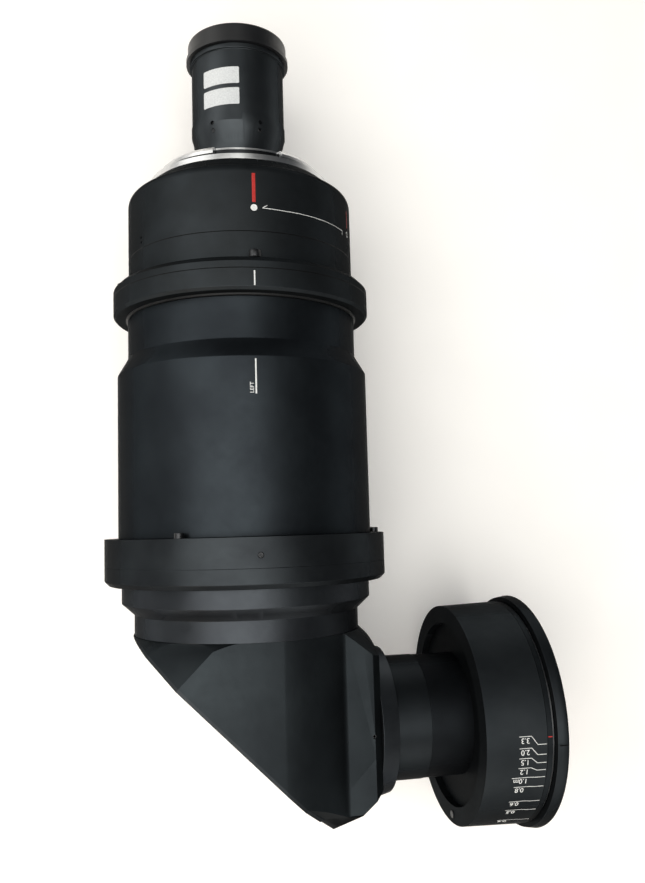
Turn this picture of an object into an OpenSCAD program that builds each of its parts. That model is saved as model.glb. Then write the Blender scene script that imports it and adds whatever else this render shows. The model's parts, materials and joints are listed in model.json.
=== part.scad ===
// Projection lens with a right-angle mirror elbow, lying on its side.
// The main axis runs along Y, with the projector's end at +Y. The output axis runs along +X.
// The origin is the centre of the bayonet ring's seat. Sizes are in millimetres.

/* [Bayonet ring] */
// Radius of the ring's base
base_r = 55.5; // [54:0.5:57]
// Thickness of the ring's base
base_t = 3; // [2:0.5:4]
// Radius of the ring's core between the seat and the lugs
core_r = 46.5; // [45:0.5:48]
// Radius over the lugs
lug_r = 51; // [50:0.5:52.5]
// Free height between the seat and the lugs
lug_gap = 3; // [2:0.5:4]
// Thickness of a lug
lug_t = 4.4; // [3.4:0.2:6]
// Chamfer of a lug's rear edge
lug_chamfer = 2.6; // [1:0.2:3]
// Number of lugs
lug_count = 4; // [3:1:4]
// Angle that one lug covers
lug_angle = 44; // [30:1:50]
// Radius of the opening through the ring
base_bore_r = 38; // [36:0.5:39]
// Radius of a ring screw's head
base_screw_head_r = 2.5; // [2:0.1:2.8]

/* [Rear barrel] */
// Outer radius of the barrel and of the band under it
barrel_r = 68.3; // [67:0.1:70]
// Length of the barrel with the red bar
barrel_l = 46.7; // [42:0.1:52]
// Wall of that barrel
barrel_wall = 6.3; // [5:0.1:7]
// Thickness of its rear web
barrel_web_t = 11; // [9:0.5:13]
// Radius of the opening in the web
barrel_web_bore_r = 30; // [28:0.5:33]
// Length of the sloping shoulder
shoulder_l = 8; // [6:0.5:9]
// How far the foot of the sloping shoulder lies inside the barrel's radius
shoulder_step = 3.3; // [2:0.1:5]
// Length of the rounding from the shoulder to the barrel
shoulder_round_l = 5; // [3:0.5:7]
// Length of the band under the seam
band_l = 16.3; // [14:0.1:20]
// Wall of the band
band_wall = 8.3; // [7.5:0.1:9]
// Length of the band's lip inside the barrel
band_lip_l = 9; // [8.5:0.5:12]
// Wall of the band's lip
band_lip_t = 3; // [2:0.2:4]
// Angle of the paired set screws from the top
barrel_screw_angle = 62.2; // [50:0.1:75]
// Distance of the first of a pair from the seam
barrel_screw_inset = 3.4; // [3:0.1:4]
// Spacing of a pair
barrel_screw_pitch = 2.8; // [2.4:0.1:3.4]
// Radius of a small set screw in the barrel
barrel_screw_r = 0.8; // [0.6:0.1:1]
// Radius of the dowel on the shoulder
dowel_r = 1.6; // [1:0.1:2]
// Angle of the dowel from the top
dowel_angle = 78; // [60:1:90]
// Height of the dowel above the shoulder
dowel_h = 3; // [1:0.5:5]

/* [Clamp] */
// How far the clamp ring and the ring with the index line stand out from the barrel
clamp_step = 9; // [7.2:0.1:11]
// Thickness of the clamp ring
clamp_t = 6.8; // [6:0.1:9]
// Chamfer on the clamp ring's rear edge
clamp_chamfer = 2.9; // [1:0.1:3.5]
// Thickness of the ring with the index line
index_t = 11.7; // [9:0.1:14]
// Undercut at the bottom edge of that ring
index_chamfer = 1.6; // [0.5:0.1:3]
// How far the slip washer stands out from the body's neck
washer_step = 1.2; // [0.5:0.1:3]
// Thickness of the slip washer
washer_t = 0.9; // [0.5:0.1:2]
// Number of clamp screws
clamp_screw_count = 4; // [3:1:6]
// Radius of a clamp screw's head
clamp_head_r = 3.2; // [2.6:0.1:3.3]
// Height of a clamp screw's head
clamp_head_h = 4.5; // [3:0.1:6]
// Radius of a clamp screw's shank
clamp_shank_r = 1.9; // [1.4:0.1:2]

/* [Rear cell] */
// Outer radius of the rear tube
tube_r = 28.8; // [28:0.1:29.4]
// Wall of the rear tube
tube_wall = 3; // [2:0.1:3.6]
// Height of the rear tube's end above the seat
tube_top = 91.2; // [86:0.1:98]
// How far the collar stands out from the tube
collar_step = 1.2; // [1:0.1:2]
// Thickness of the collar
collar_t = 2.8; // [1.5:0.1:4]
// How far the sleeve that holds the tube stands out from it
sleeve_step = 0.4; // [0.2:0.1:1.7]
// Height of the sleeve's end above the seat
sleeve_top = 38.5; // [35:0.1:42]
// Length of the sleeve's straight end
sleeve_straight_l = 5.5; // [5:0.1:8]
// Length of the sleeve's taper
sleeve_taper_l = 13.5; // [10:0.5:14]
// Radius of the sleeve's foot
sleeve_foot_r = 25.3; // [25:0.1:27]
// Depth that the tube reaches into the sleeve
tube_depth = 12.5; // [11:0.5:14]
// Wall of the sleeve round the tube's spigot
sleeve_wall = 2.4; // [2:0.1:2.8]
// Number of set-screw stations round the sleeve
sleeve_screw_count = 6; // [3:1:8]
// Angle of the first station from the top
sleeve_screw_angle = 21.3; // [0:0.1:59]
// Radius of a sleeve set screw
sleeve_screw_r = 1.2; // [0.8:0.1:1.4]
// Distance of the first row of set screws from the sleeve's end
sleeve_row_inset = 5.8; // [5:0.1:6.5]
// Spacing of the first two rows
sleeve_row_pitch = 4.4; // [3.6:0.1:5]
// Height of the foot's row of set screws above the seat
sleeve_foot_row = 16.4; // [13:0.1:17]
// Thickness of the rear lens at its edge
rear_lens_t = 5.5; // [4:0.5:7]
// Height of the rear lens's domes
rear_lens_dome = 2; // [1:0.2:3]

/* [Rear cap] */
// Wall of the cap
cap_wall = 1.9; // [1.5:0.1:4]
// How far the cap's lip stands out from it
cap_lip_step = 1.1; // [0.6:0.1:2]
// Length of the cap's lip
cap_lip_l = 2.6; // [1.5:0.1:4]
// Length of the cap
cap_l = 12.3; // [9:0.1:16]
// Thickness of the cap's end
cap_end_t = 2; // [1.2:0.1:3]
// Rounding of the cap's edge
cap_round = 1.8; // [1:0.1:2]

/* [Relay groups] */
// Outer radius of the snout that the sleeve grips
snout_r = 22; // [21:0.1:23]
// Wall of the snout
snout_wall = 3; // [2:0.1:4]
// Gap between the rear relay cell and the spigot's bore
relay_rear_gap = 6; // [4:0.5:9]
// Length of the rear relay cell
relay_rear_l = 46; // [40:1:50]
// Gap between the rear relay cell's flange and the barrel's bore
relay_flange_gap = 10; // [5:0.5:14]
// Thickness of the relay cells' flanges
relay_flange_t = 5; // [4:0.5:6]
// Gap between the front relay cell and the flange's bore
relay_front_gap = 15; // [11:0.5:18]
// Length of the front relay cell above its flange
relay_front_l = 44; // [36:1:60]
// Wall of the relay cells
relay_wall = 4; // [3:0.5:5]
// Thickness of a relay lens at its edge
relay_lens_t = 7; // [5:0.5:9]
// Height of a relay lens's domes
relay_dome = 5; // [3:0.5:7]

/* [Elbow body] */
// Width of the nut on the turning spigot
nut_w = 7; // [5:0.5:9]
// Wall of the turning spigot
spigot_wall = 5; // [4:0.5:6]
// Width of the spigot's flange
spigot_flange_w = 8; // [5:0.5:10]
// Thickness of the spigot's flange
spigot_flange_t = 6; // [4:0.5:8]
// Gap between the nut and the band's bore
nut_clear = 3; // [1:0.5:5]
// Thickness of the nut
nut_t = 7; // [5:0.5:9]
// How far the body's neck stands out from the barrel
neck_step = 0.5; // [0:0.1:2]
// Length of the body's neck
neck_l = 23.3; // [19:0.1:28]
// Length of the cone below the neck
cone_l = 10.7; // [8:0.1:14]
// How far the body tube stands out from its neck
body_step = 6.2; // [4:0.1:8]
// Length of the body tube's wide part
body_l = 95.4; // [85:0.1:110]
// Wall of the body tube
body_wall = 5; // [4:0.1:6]
// Thickness of the web at the neck's end
body_web_t = 8; // [6:0.5:10]
// How far the wide flange stands out from the body tube
flange_step = 7.9; // [6.5:0.1:10]
// Thickness of the flange's upper ring
flange_upper_t = 15.9; // [13:0.1:19]
// Thickness of the flange's lower ring
flange_lower_t = 10.8; // [9.5:0.1:13]
// Chamfer at the flange's bottom edge
flange_chamfer = 2.6; // [1:0.1:4]
// Length of the flange's spigot inside the body tube
flange_spigot_l = 8; // [6:0.5:12]
// Wall of that spigot
flange_spigot_t = 6; // [5:0.5:8]
// Number of cap screws on the flange
flange_screw_count = 3; // [3:1:6]
// Angle of the first cap screw from the top
flange_screw_angle = -32; // [-60:1:60]
// Radius of a cap screw's head
flange_head_r = 2.65; // [2:0.05:2.75]
// Height of a cap screw's head
flange_head_h = 2.9; // [2:0.1:4]
// Radius of a cap screw's shank
flange_shank_r = 1.5; // [1.2:0.1:1.6]
// Radius of the flange's radial set screw
flange_set_r = 1.6; // [1.2:0.1:2]
// Angle of that set screw from the top
flange_set_angle = -1; // [-20:1:20]
// Distance of that set screw from the flange's rear face
flange_set_inset = 9.3; // [6:0.1:11]

/* [Mirror elbow] */
// How far the adapter lies inside the wide flange's radius
adapter_step = 9.7; // [8:0.1:12]
// Length of the adapter's straight part
adapter_l = 10.5; // [8:0.1:13]
// Length of the adapter's cone
adapter_cone_l = 6.6; // [5:0.1:9]
// Length of the adapter's narrow end
adapter_end_l = 11.7; // [9:0.1:15]
// Radius of the adapter's bore
adapter_bore_r = 46; // [43:0.5:48]
// Wall of the adapter's spigot in the housing
adapter_spigot_t = 4; // [3:0.5:6]
// Length of the adapter's spigot in the housing
adapter_spigot_l = 6; // [4:0.5:7]
// Radius of the round part of the mirror housing
housing_r = 66; // [65.6:0.1:67]
// Step from the adapter to the housing's sloping top
cone_step = 0.4; // [0.3:0.1:1]
// Distance from the adapter to the output axis
fold_drop = 57.2; // [55:0.1:60]
// Depth of the front and back flats in the round part
flat_cut = 1; // [0.6:0.1:2]
// How far the output face stands out from the round part
face_reach = 4; // [3:0.5:8]
// Chamfer round the output face
face_chamfer = 5; // [3:0.5:6]
// Wall between the output neck and the housing's low side
low_wall = 5.2; // [4:0.1:8]
// Width of the cut corner, along the output axis
corner_x = 13.2; // [9:0.1:16]
// Height of the cut corner, along the main axis
corner_y = 11; // [8:0.1:13]
// Radius of the fillet between the round part and the block
block_fillet = 4; // [3:0.5:5]
// Size of the bevels at the mirror face's far end
bevel_far = 121; // [118:0.5:124]
// Size of the bevels at the mirror face's near end
bevel_near = 100; // [98:0.5:104]
// Radius of the set screw beside the output face
housing_set_r = 1.25; // [1:0.05:1.5]
// Distance of that set screw from the chamfer of the output face
housing_set_inset = 0.3; // [0:0.1:2]
// Radius of the light path into the mirror
path_in_r = 34; // [32:0.5:34.5]
// Step from the output neck's bore down to the light path out of the mirror
path_step = 1; // [0.5:0.5:3]
// Wall left under the light path at the low side
path_floor = 8; // [7:0.5:10]
// Length of the mirror
mirror_l = 98; // [95:0.5:99]
// Width of the mirror
mirror_w = 78; // [74:0.5:86]
// Thickness of the mirror
mirror_t = 4; // [3:0.1:5]
// Thickness of the rubber pads behind the mirror
pad_t = 1; // [0.5:0.1:1.5]
// Side of a rubber pad
pad_w = 12; // [8:0.5:16]
// Gap round the mirror in its pocket
pocket_gap = 0.3; // [0.2:0.1:0.5]
// Thickness of the mirror cover
cover_t = 1.8; // [1.2:0.1:3]
// Distance of the cover screws from the cover's long edges
cover_screw_inset = 5; // [4:0.1:7]
// Place of the first cover screw along the mirror
cover_screw_from = -29.5; // [-34:0.5:-26]
// Spacing of the cover screws
cover_screw_pitch = 22.8; // [18:0.1:23]
// Distance of the far screws from the mirror's end
cover_far_inset = 18; // [14:0.5:20]
// Radius of a cover screw's head
cover_head_r = 2.4; // [1.8:0.1:2.8]
// Height of a cover screw's head
cover_head_h = 1.5; // [1:0.1:2]
// Radius of a cover screw's shank
cover_shank_r = 1.25; // [1:0.05:1.5]
// Length of a cover screw under its head
cover_screw_l = 8; // [6:0.5:10]

/* [Output neck] */
// How far the output flange's side leans in
out_flange_lean = 2.5; // [1:0.1:4]
// Thickness of the output flange
out_flange_t = 10; // [8:0.5:12]
// Number of screws in the output flange
out_screw_count = 4; // [3:1:6]
// Radius of an output flange screw's head
out_head_r = 2.4; // [2:0.1:2.5]
// Width of the output flange's front face
out_flange_land = 6; // [5.5:0.1:8]
// Wall of the output neck
out_neck_wall = 5.5; // [5:0.1:6]
// Length of the output neck in front of the flange
out_neck_l = 21.3; // [18:0.1:25]
// Depth of the output neck in the housing
out_neck_depth = 6; // [4:0.5:8]
// Step from the output neck down to the focus carrier's tube
carrier_step = 0.3; // [0.1:0.1:1]
// Length of the focus carrier's tube behind the focus ring
carrier_l = 21.1; // [18:0.1:25]
// Length of the focus carrier's spigot in the neck
carrier_spigot_l = 8; // [6:0.5:12]
// Wall of that spigot
carrier_spigot_t = 2.5; // [2:0.1:3]
// Width of the carrier's flange inside the front barrel
carrier_flange_w = 5.8; // [3:0.1:6]
// Thickness of that flange
carrier_flange_t = 3; // [2:0.5:4]

/* [Front] */
// How much the focus ring grows from back to front
focus_lean = 1.2; // [0:0.1:2]
// How far the focus ring's front edge stands out from the index ring
focus_step = 0.1; // [0:0.1:0.5]
// Length of the focus ring
focus_l = 35.1; // [33:0.1:38]
// Depth of the front barrel's back wall behind the focus ring's edge
recess_depth = 4; // [2:0.5:6]
// Thickness of the front barrel's back wall
drum_back_t = 5; // [4:0.5:6]
// Wall of the focus ring at its back edge
focus_wall = 10.6; // [9:0.1:12]
// Wall of the front barrel under the focus ring, with its running gap
drum_wall = 7.3; // [6:0.1:8]
// Step from the sliding cell down to the output neck
neck_inset = 10.5; // [9:0.5:13]
// Wall of the sliding cell
cell_wall = 4; // [3:0.5:5]
// Length of the sliding cell behind its head
cell_l = 26; // [24:0.5:26.5]
// Wall of the front barrel's nose round the sliding cell's head
nose_wall = 5.5; // [4:0.5:6]
// Wall of the cell's head round the front lens
cell_head_wall = 2.5; // [2:0.1:3]
// Thickness of the web of the cell's head
cell_head_t = 1.6; // [1.2:0.1:2]
// Radius of the index ring in front of the focus ring
index_ring_r = 66; // [65:0.1:67]
// Length of the index ring
index_ring_l = 3; // [2:0.1:4]
// Length of the groove behind the rim
groove_l = 1.7; // [1.4:0.1:2.5]
// Depth of the groove behind the rim
groove_depth = 2.5; // [2:0.1:3.5]
// Height of the bright ring above the groove's floor
bright_h = 1.2; // [0.8:0.1:1.4]
// Thickness of the bright ring
bright_t = 0.9; // [0.6:0.1:1.2]
// How far the rim's back edge stands out from the index ring
rim_step = 2.6; // [1.5:0.1:4]
// How much the rim grows from back to front
rim_lean = 0.9; // [0.4:0.1:2]
// Length of the rim
rim_l = 6.8; // [6.5:0.1:9]
// Rounding of the rim's front edge
rim_round = 1.6; // [0.8:0.1:2]
// Thickness of the rim's front lip
rim_lip_t = 2; // [1.5:0.1:2.5]
// Gap between the sliding cell's head and the rim's front opening
opening_step = 3; // [2:0.1:4]
// Height of the front lens's dome
front_dome = 4; // [2:0.2:5]
// Thickness of the front lens at its edge
front_lens_t = 2; // [1.5:0.1:2.5]
// Thickness of the ring that holds the front lens
front_ring_t = 1.2; // [0.8:0.1:1.4]
// Width of the ring that holds the front lens
front_ring_w = 1.8; // [1.2:0.1:2]
// Thickness of the inner lens at its edge
inner_lens_t = 8; // [6:0.5:9]
// Height of the inner lens's domes
inner_dome = 3.5; // [2:0.5:5]

/* [Focus drive] */
// Travel of the cell in millimetres for one radian of the ring
focus_lead = 4; // [3:0.5:4.5]
// Turn of the ring past the far end of its scale
focus_over = 3; // [0:1:4]
// Turn of the ring to the near end of its scale
focus_turn = 54; // [45:1:58]
// Number of cam pins
cam_count = 3; // [3:1:4]
// Radius of a cam pin
cam_pin_r = 2.5; // [2:0.1:3]
// Depth that a cam pin reaches into the focus ring
cam_depth = 4; // [3:0.5:5]
// Distance of the cam pins from the focus ring's back edge
cam_inset = 21; // [19:0.5:24]
// Angle of the first cam pin
cam_angle = 30; // [0:1:90]
// Radius of the slotted stop screw's head
stop_head_r = 2.2; // [1.8:0.1:2.8]
// Height of that head above the focus ring's back face
stop_head_h = 0.7; // [0.4:0.1:1.2]
// Angle of the stop screw from the top
stop_angle = -86; // [-95:1:-75]

/* [Fits] */
// Running clearance of a turning or sliding fit
run_gap = 0.05; // [0.02:0.01:0.08]
// Gap between faces that move past each other
turn_gap = 0.3; // [0.2:0.05:0.5]
// Gap round a screw in its hole
screw_gap = 0.1; // [0.05:0.05:0.2]
// Depth that a set screw lies under the surface
set_sink = 0.8; // [0.3:0.1:1]

/* [Hidden] */
$fn = 96;
// Overrun of every cut
over = 1;

// Places along the main axis, from the seat down
ring_top = lug_gap + lug_t;
base_y = -base_t;
barrel_end = base_y - barrel_l;
band_end = barrel_end - band_l;
clamp_end = band_end - clamp_t;
index_end = clamp_end - index_t;
washer_end = index_end - washer_t;
neck_top = washer_end - turn_gap;
neck_end = neck_top - neck_l;
cone_end = neck_end - cone_l;
body_end = cone_end - body_l;
flange_mid = body_end - flange_upper_t;
flange_end = flange_mid - flange_lower_t;
adapter_straight_end = flange_end - adapter_l;
adapter_cone_end = adapter_straight_end - adapter_cone_l;
adapter_end = adapter_cone_end - adapter_end_l;
fold_y = adapter_end - fold_drop;

// Radii of the main barrel, from the projector down
shoulder_r = barrel_r - shoulder_step;
barrel_bore_r = barrel_r - barrel_wall;
band_bore_r = barrel_r - band_wall;
clamp_r = barrel_r + clamp_step;
dowel_at_r = (base_r + shoulder_r) / 2;
nut_r = band_bore_r - nut_clear;
spigot_r = nut_r - nut_w;
spigot_bore_r = spigot_r - spigot_wall;
spigot_flange_r = spigot_r + spigot_flange_w;
relay_rear_r = spigot_bore_r - relay_rear_gap;
relay_flange_r = barrel_bore_r - relay_flange_gap;

// Radii of the elbow's body, down to the adapter
neck_r = barrel_r + neck_step;
neck_bore_r = neck_r - body_wall;
washer_r = neck_r + washer_step;
body_r = neck_r + body_step;
body_bore_r = body_r - body_wall;
flange_r = body_r + flange_step;
flange_bore_r = body_bore_r - flange_spigot_t;
relay_flange_front_r = flange_bore_r + flange_spigot_t / 2;
relay_front_r = flange_bore_r - relay_front_gap;
adapter_r = flange_r - adapter_step;

// Radii of the front, from the index ring in to the output neck
focus_front_r = index_ring_r + focus_step;
focus_back_r = focus_front_r - focus_lean;
groove_r = index_ring_r - groove_depth;
rim_back_r = index_ring_r + rim_step;
rim_front_r = rim_back_r + rim_lean;
cell_head_r = groove_r - nose_wall;
rim_opening_r = cell_head_r + opening_step;
drum_r = focus_back_r - focus_wall;
cell_r = drum_r - drum_wall;
stop_at_r = (drum_r + focus_back_r) / 2;
out_neck_r = cell_r - neck_inset;
out_bore_r = out_neck_r - out_neck_wall;
carrier_r = out_neck_r - carrier_step;
carrier_flange_r = carrier_r + carrier_flange_w;
out_flange_front_r = out_neck_r + out_flange_land;
out_flange_r = out_flange_front_r + out_flange_lean;
out_screw_at_r = (out_neck_r + out_flange_front_r) / 2;

// Sides of the mirror housing
flat_z = housing_r - flat_cut;
block_z = out_flange_r;
face_x = housing_r + face_reach;
low_side = out_neck_r + low_wall;
path_out_r = out_bore_r - path_step;
housing_set_x = face_x - face_chamfer - housing_set_inset;

// Radii of the rear cell and its cap, from the tube
collar_r = tube_r + collar_step;
sleeve_r = tube_r + sleeve_step;
tube_spigot_r = sleeve_r - sleeve_wall;
cap_r = tube_r + turn_gap + cap_wall;
cap_lip_r = cap_r + cap_lip_step;

// Places at the rear cell
tube_bore_r = tube_r - tube_wall;
tube_end = sleeve_top - tube_depth;
cap_open = tube_top - cap_l + cap_end_t + turn_gap;
collar_top = cap_open - turn_gap;
sleeve_taper_top = sleeve_top - sleeve_straight_l;
sleeve_taper_end = sleeve_taper_top - sleeve_taper_l;
rear_lens_low = tube_top - (rear_lens_t + 2 * rear_lens_dome) - rear_lens_dome;
rear_lens_r = tube_bore_r + tube_wall / 3;

// The dowel in the sloping shoulder: its depth, and the height of its foot
dowel_seat = shoulder_l / 2;
dowel_foot = base_y - shoulder_l * (dowel_at_r - base_r) / (shoulder_r - base_r) - dowel_seat;

// Seats of the relay lenses
relay_rear_seat = base_y - barrel_web_t - relay_rear_l + 2 * relay_lens_t;
relay_front_seat = flange_mid + relay_front_l - 2 * relay_lens_t;

// Places along the output axis, from the main axis
flange_front_x = face_x + out_flange_t;
neck_front_x = flange_front_x + out_neck_l;
focus_back_x = neck_front_x + carrier_l;
focus_front_x = focus_back_x + focus_l;
index_back_x = focus_front_x + turn_gap;
index_front_x = index_back_x + index_ring_l;
rim_back_x = index_front_x + groove_l;
rim_front_x = rim_back_x + rim_l;
drum_back_x = focus_back_x + recess_depth;
drum_inner_x = drum_back_x + drum_back_t;
cell_bore_r = cell_r - cell_wall;
head_back_x = index_front_x + turn_gap + focus_lead * focus_over * PI / 180;
head_front_x = rim_front_x - rim_lip_t - turn_gap;
front_lens_r = cell_head_r - cell_head_wall;
pin_x = focus_back_x + cam_inset;
cell_back_x = head_back_x - cell_l;

// Depth of the mirror face outside the fold, and how far the blocks that cut it reach
mirror_face = mirror_t + pad_t;
reach = 3 * housing_r;
cover_screw_places = [
    for (i = [0:2], side = [-1, 1]) [cover_screw_from + i * cover_screw_pitch, side * (flat_z - cover_screw_inset)],
    for (side = [-1, 1]) [-mirror_l / 2 - cover_far_inset, side * mirror_w / 4]
];

// Turns the main axis from Z to Y.
module on_main() { rotate([-90, 0, 0]) children(); }

// Turns the output axis from Z to X, at the fold's height.
module on_output() { translate([0, fold_y, 0]) rotate([0, 90, 0]) children(); }

// Lays X along the mirror, Y across it towards the light, and Z up, with the fold at the origin.
module on_mirror() { translate([0, fold_y, 0]) rotate([0, 0, -45]) children(); }

// Places children at an angle from the top, round the main axis, at a height along it.
module at_main(angle, y) { on_main() rotate([0, 0, angle - 90]) translate([0, 0, y]) children(); }

// Places children at an angle from the top, round the output axis, at a place along it.
module at_output(angle, x) { on_output() rotate([0, 0, 180 - angle]) translate([0, 0, x]) children(); }

// A turned piece on the main axis, from an outline of radius and height.
module turn_main(points) { on_main() rotate_extrude() polygon(points); }

// A turned piece on the output axis, from an outline of radius and place.
module turn_output(points) { on_output() rotate_extrude() polygon(points); }

// The outline of a plain ring.
function band(r_in, r_out, low, high) = [[r_in, low], [r_out, low], [r_out, high], [r_in, high]];

// Points of a lens's curved face, from its centre out to its edge.
function dome(r, edge, rise, steps = 12) =
    let (ball = (r * r + rise * rise) / (2 * rise))
    [for (i = [0:steps]) let (x = r * i / steps) [x, edge + sign(rise) * (sqrt(ball * ball - x * x) - abs(ball) + abs(rise))]];

// Height of a lens's seat, a width in from the lens's edge: the curved face and a running gap.
function seat_lean(r, rise, width) =
    let (ball = (r * r + rise * rise) / (2 * rise), x = r - width) sqrt(ball * ball - x * x) - ball + rise + run_gap;

// Turns the order of a list round.
function back(list) = [for (i = [len(list) - 1:-1:0]) list[i]];

// The outline of a lens with a curved face at each side. A negative rise is a hollow face.
function glass(r, low, high, rise_low, rise_high) =
    concat(dome(r, low, -rise_low), back(dome(r, high, rise_high)));

// A quarter round from the side of a turned piece to its top.
function edge_round(r, top, size, steps = 5) =
    [for (i = [0:steps]) let (a = 90 * i / steps) [r - size + size * cos(a), top - size + size * sin(a)]];

// A radial rod: from one radius to another, with its axis square to the turning axis.
module radial_rod(r, from, to) { translate([from, 0, 0]) rotate([0, 90, 0]) cylinder(h = to - from, r = r); }

// A screw with a round head that stands on the plane z = 0, and its shank below.
module head_screw(head_r, head_h, shank_r, length) {
    cylinder(h = head_h, r = head_r);
    translate([0, 0, -length]) cylinder(h = length + head_h / 2, r = shank_r);
}

// The bright ring that locks into the projector: base, core and lugs.
module bayonet_ring() {
    color("silver") difference() {
        union() {
            turn_main(band(base_bore_r, base_r, base_y, 0));
            turn_main(band(base_bore_r, core_r, base_y, ring_top));
            intersection() {
                turn_main([[base_bore_r, lug_gap], [lug_r, lug_gap], [lug_r, ring_top - lug_chamfer],
                    [lug_r - lug_chamfer, ring_top], [base_bore_r, ring_top]]);
                union() for (i = [0:lug_count - 1]) at_main(360 * (i + 0.5) / lug_count, 0) lug_wedge();
            }
        }
        for (i = [0:lug_count - 1]) at_main(360 * i / lug_count, 0)
            translate([(base_bore_r + core_r) / 2, 0, 0]) bayonet_screw_hole();
    }
}

// The space of one lug, as a wedge round the main axis.
module lug_wedge() {
    tip = 2 * lug_r;
    half = tip * tan(lug_angle / 2);
    linear_extrude(ring_top + over) polygon([[0, 0], [tip, -half], [tip, half]]);
}

module bayonet_screw_hole() {
    translate([0, 0, base_y - over]) cylinder(h = ring_top - base_y + 2 * over, r = base_screw_head_r / 2 + screw_gap);
    translate([0, 0, ring_top - lug_t / 2]) cylinder(h = lug_t, r = base_screw_head_r + screw_gap);
}

// The cap screws that hold the bayonet ring on the barrel.
module bayonet_screws() {
    color("dimgray") for (i = [0:lug_count - 1]) at_main(360 * i / lug_count, ring_top - lug_t / 2)
        translate([(base_bore_r + core_r) / 2, 0, 0])
            head_screw(base_screw_head_r, lug_t / 2, base_screw_head_r / 2, ring_top - lug_t / 2 + base_t + barrel_web_t / 2);
}

// The dowel on the barrel's shoulder.
module locating_pin() {
    color("gainsboro") at_main(dowel_angle, dowel_foot) translate([dowel_at_r, 0, 0])
        cylinder(h = dowel_h + dowel_seat, r = dowel_r);
}

// The barrel with the red bar: a cup with a sloping shoulder and a web behind it.
module marked_barrel() {
    round_end = base_y - shoulder_l - shoulder_round_l;
    swell = barrel_r - shoulder_r;
    color("#26262a") difference() {
        turn_main(concat(
            [[barrel_web_bore_r, base_y - barrel_web_t], [barrel_bore_r, base_y - barrel_web_t],
                [barrel_bore_r, barrel_end], [barrel_r, barrel_end]],
            [for (i = [0:6]) let (a = 90 * i / 6)
                [shoulder_r + swell * cos(a), round_end + shoulder_round_l * sin(a)]],
            [[base_r, base_y], [barrel_web_bore_r, base_y]]));
        for (i = [0:lug_count - 1]) at_main(360 * i / lug_count, base_y - barrel_web_t / 2 - over)
            translate([(base_bore_r + core_r) / 2, 0, 0])
                cylinder(h = barrel_web_t, r = base_screw_head_r / 2 + screw_gap);
        at_main(dowel_angle, dowel_foot) translate([dowel_at_r, 0, 0]) cylinder(h = 2 * shoulder_l, r = dowel_r);
        barrel_screw_rods(barrel_screw_r, barrel_bore_r - over, barrel_r + over);
    }
}

// The places of the paired set screws above the seam: two pairs beside the top, one below.
module barrel_screw_rods(r, from, to) {
    for (angle = [-barrel_screw_angle, barrel_screw_angle, 180], i = [0, 1])
        at_main(angle, barrel_end + barrel_screw_inset + i * barrel_screw_pitch) radial_rod(r, from, to);
}

module barrel_set_screws() {
    color("gray") barrel_screw_rods(barrel_screw_r, barrel_bore_r, barrel_r - set_sink);
}

// The band under the seam, with its lip inside the barrel.
module lower_barrel() {
    color("#232326") turn_main([[band_bore_r, band_end], [barrel_r, band_end], [barrel_r, barrel_end],
        [barrel_bore_r, barrel_end], [barrel_bore_r, barrel_end + band_lip_l],
        [barrel_bore_r - band_lip_t, barrel_end + band_lip_l], [barrel_bore_r - band_lip_t, barrel_end],
        [band_bore_r, barrel_end]]);
}

// The places of the clamp screws, on the clamp ring's rear face.
module at_clamp_screws(y) {
    for (i = [0:clamp_screw_count - 1]) at_main(360 * i / clamp_screw_count, y)
        translate([barrel_r + clamp_head_r + turn_gap, 0, 0]) children();
}

module clamp_ring() {
    color("#26262a") difference() {
        turn_main([[band_bore_r, clamp_end], [clamp_r, clamp_end], [clamp_r, band_end - clamp_chamfer],
            [clamp_r - clamp_chamfer, band_end], [band_bore_r, band_end]]);
        at_clamp_screws(clamp_end - over) cylinder(h = clamp_t + 2 * over, r = clamp_shank_r + screw_gap);
    }
}

module clamp_screws() {
    color("dimgray") at_clamp_screws(band_end)
        head_screw(clamp_head_r, clamp_head_h, clamp_shank_r, clamp_t + index_t / 2);
}

// The ring with the index line. The turning spigot runs in its bore.
module index_flange() {
    color("#26262a") difference() {
        turn_main([[spigot_r + run_gap, index_end], [clamp_r - index_chamfer, index_end],
            [clamp_r, index_end + index_chamfer], [clamp_r, clamp_end], [spigot_r + run_gap, clamp_end]]);
        at_clamp_screws(clamp_end - index_t / 2 - over) cylinder(h = index_t, r = clamp_shank_r + screw_gap);
    }
}

module slip_washer() {
    color("#3a3a3c") turn_main(band(spigot_r + turn_gap, washer_r, washer_end, index_end));
}

// The tapered sleeve that grips the snout below and the rear tube above.
module rear_sleeve() {
    color("#2b2b2e") difference() {
        turn_main([[snout_r, ring_top], [sleeve_foot_r, ring_top], [sleeve_foot_r, sleeve_taper_end],
            [sleeve_r, sleeve_taper_top], [sleeve_r, sleeve_top], [tube_spigot_r, sleeve_top],
            [tube_spigot_r, tube_end], [snout_r, tube_end]]);
        sleeve_screw_rods(sleeve_screw_r, tube_spigot_r, snout_r, over);
    }
}

// The set screws of the sleeve: two rows on the tube's spigot and one on the snout.
module sleeve_screw_rods(r, tube_from, snout_from, grow) {
    for (i = [0:sleeve_screw_count - 1]) let (angle = sleeve_screw_angle + 360 * i / sleeve_screw_count) {
        for (row = [0, 1]) at_main(angle, sleeve_top - sleeve_row_inset - row * sleeve_row_pitch)
            radial_rod(r, tube_from - grow, tube_from + (sleeve_r - tube_spigot_r) / 2 + 4 * grow);
        at_main(angle, sleeve_foot_row)
            radial_rod(r, snout_from - grow, snout_from + (sleeve_foot_r - snout_r) * 2 / 3 + 4 * grow);
    }
}

module sleeve_set_screws() { color("gray") sleeve_screw_rods(sleeve_screw_r, tube_spigot_r, snout_r, 0); }

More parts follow.
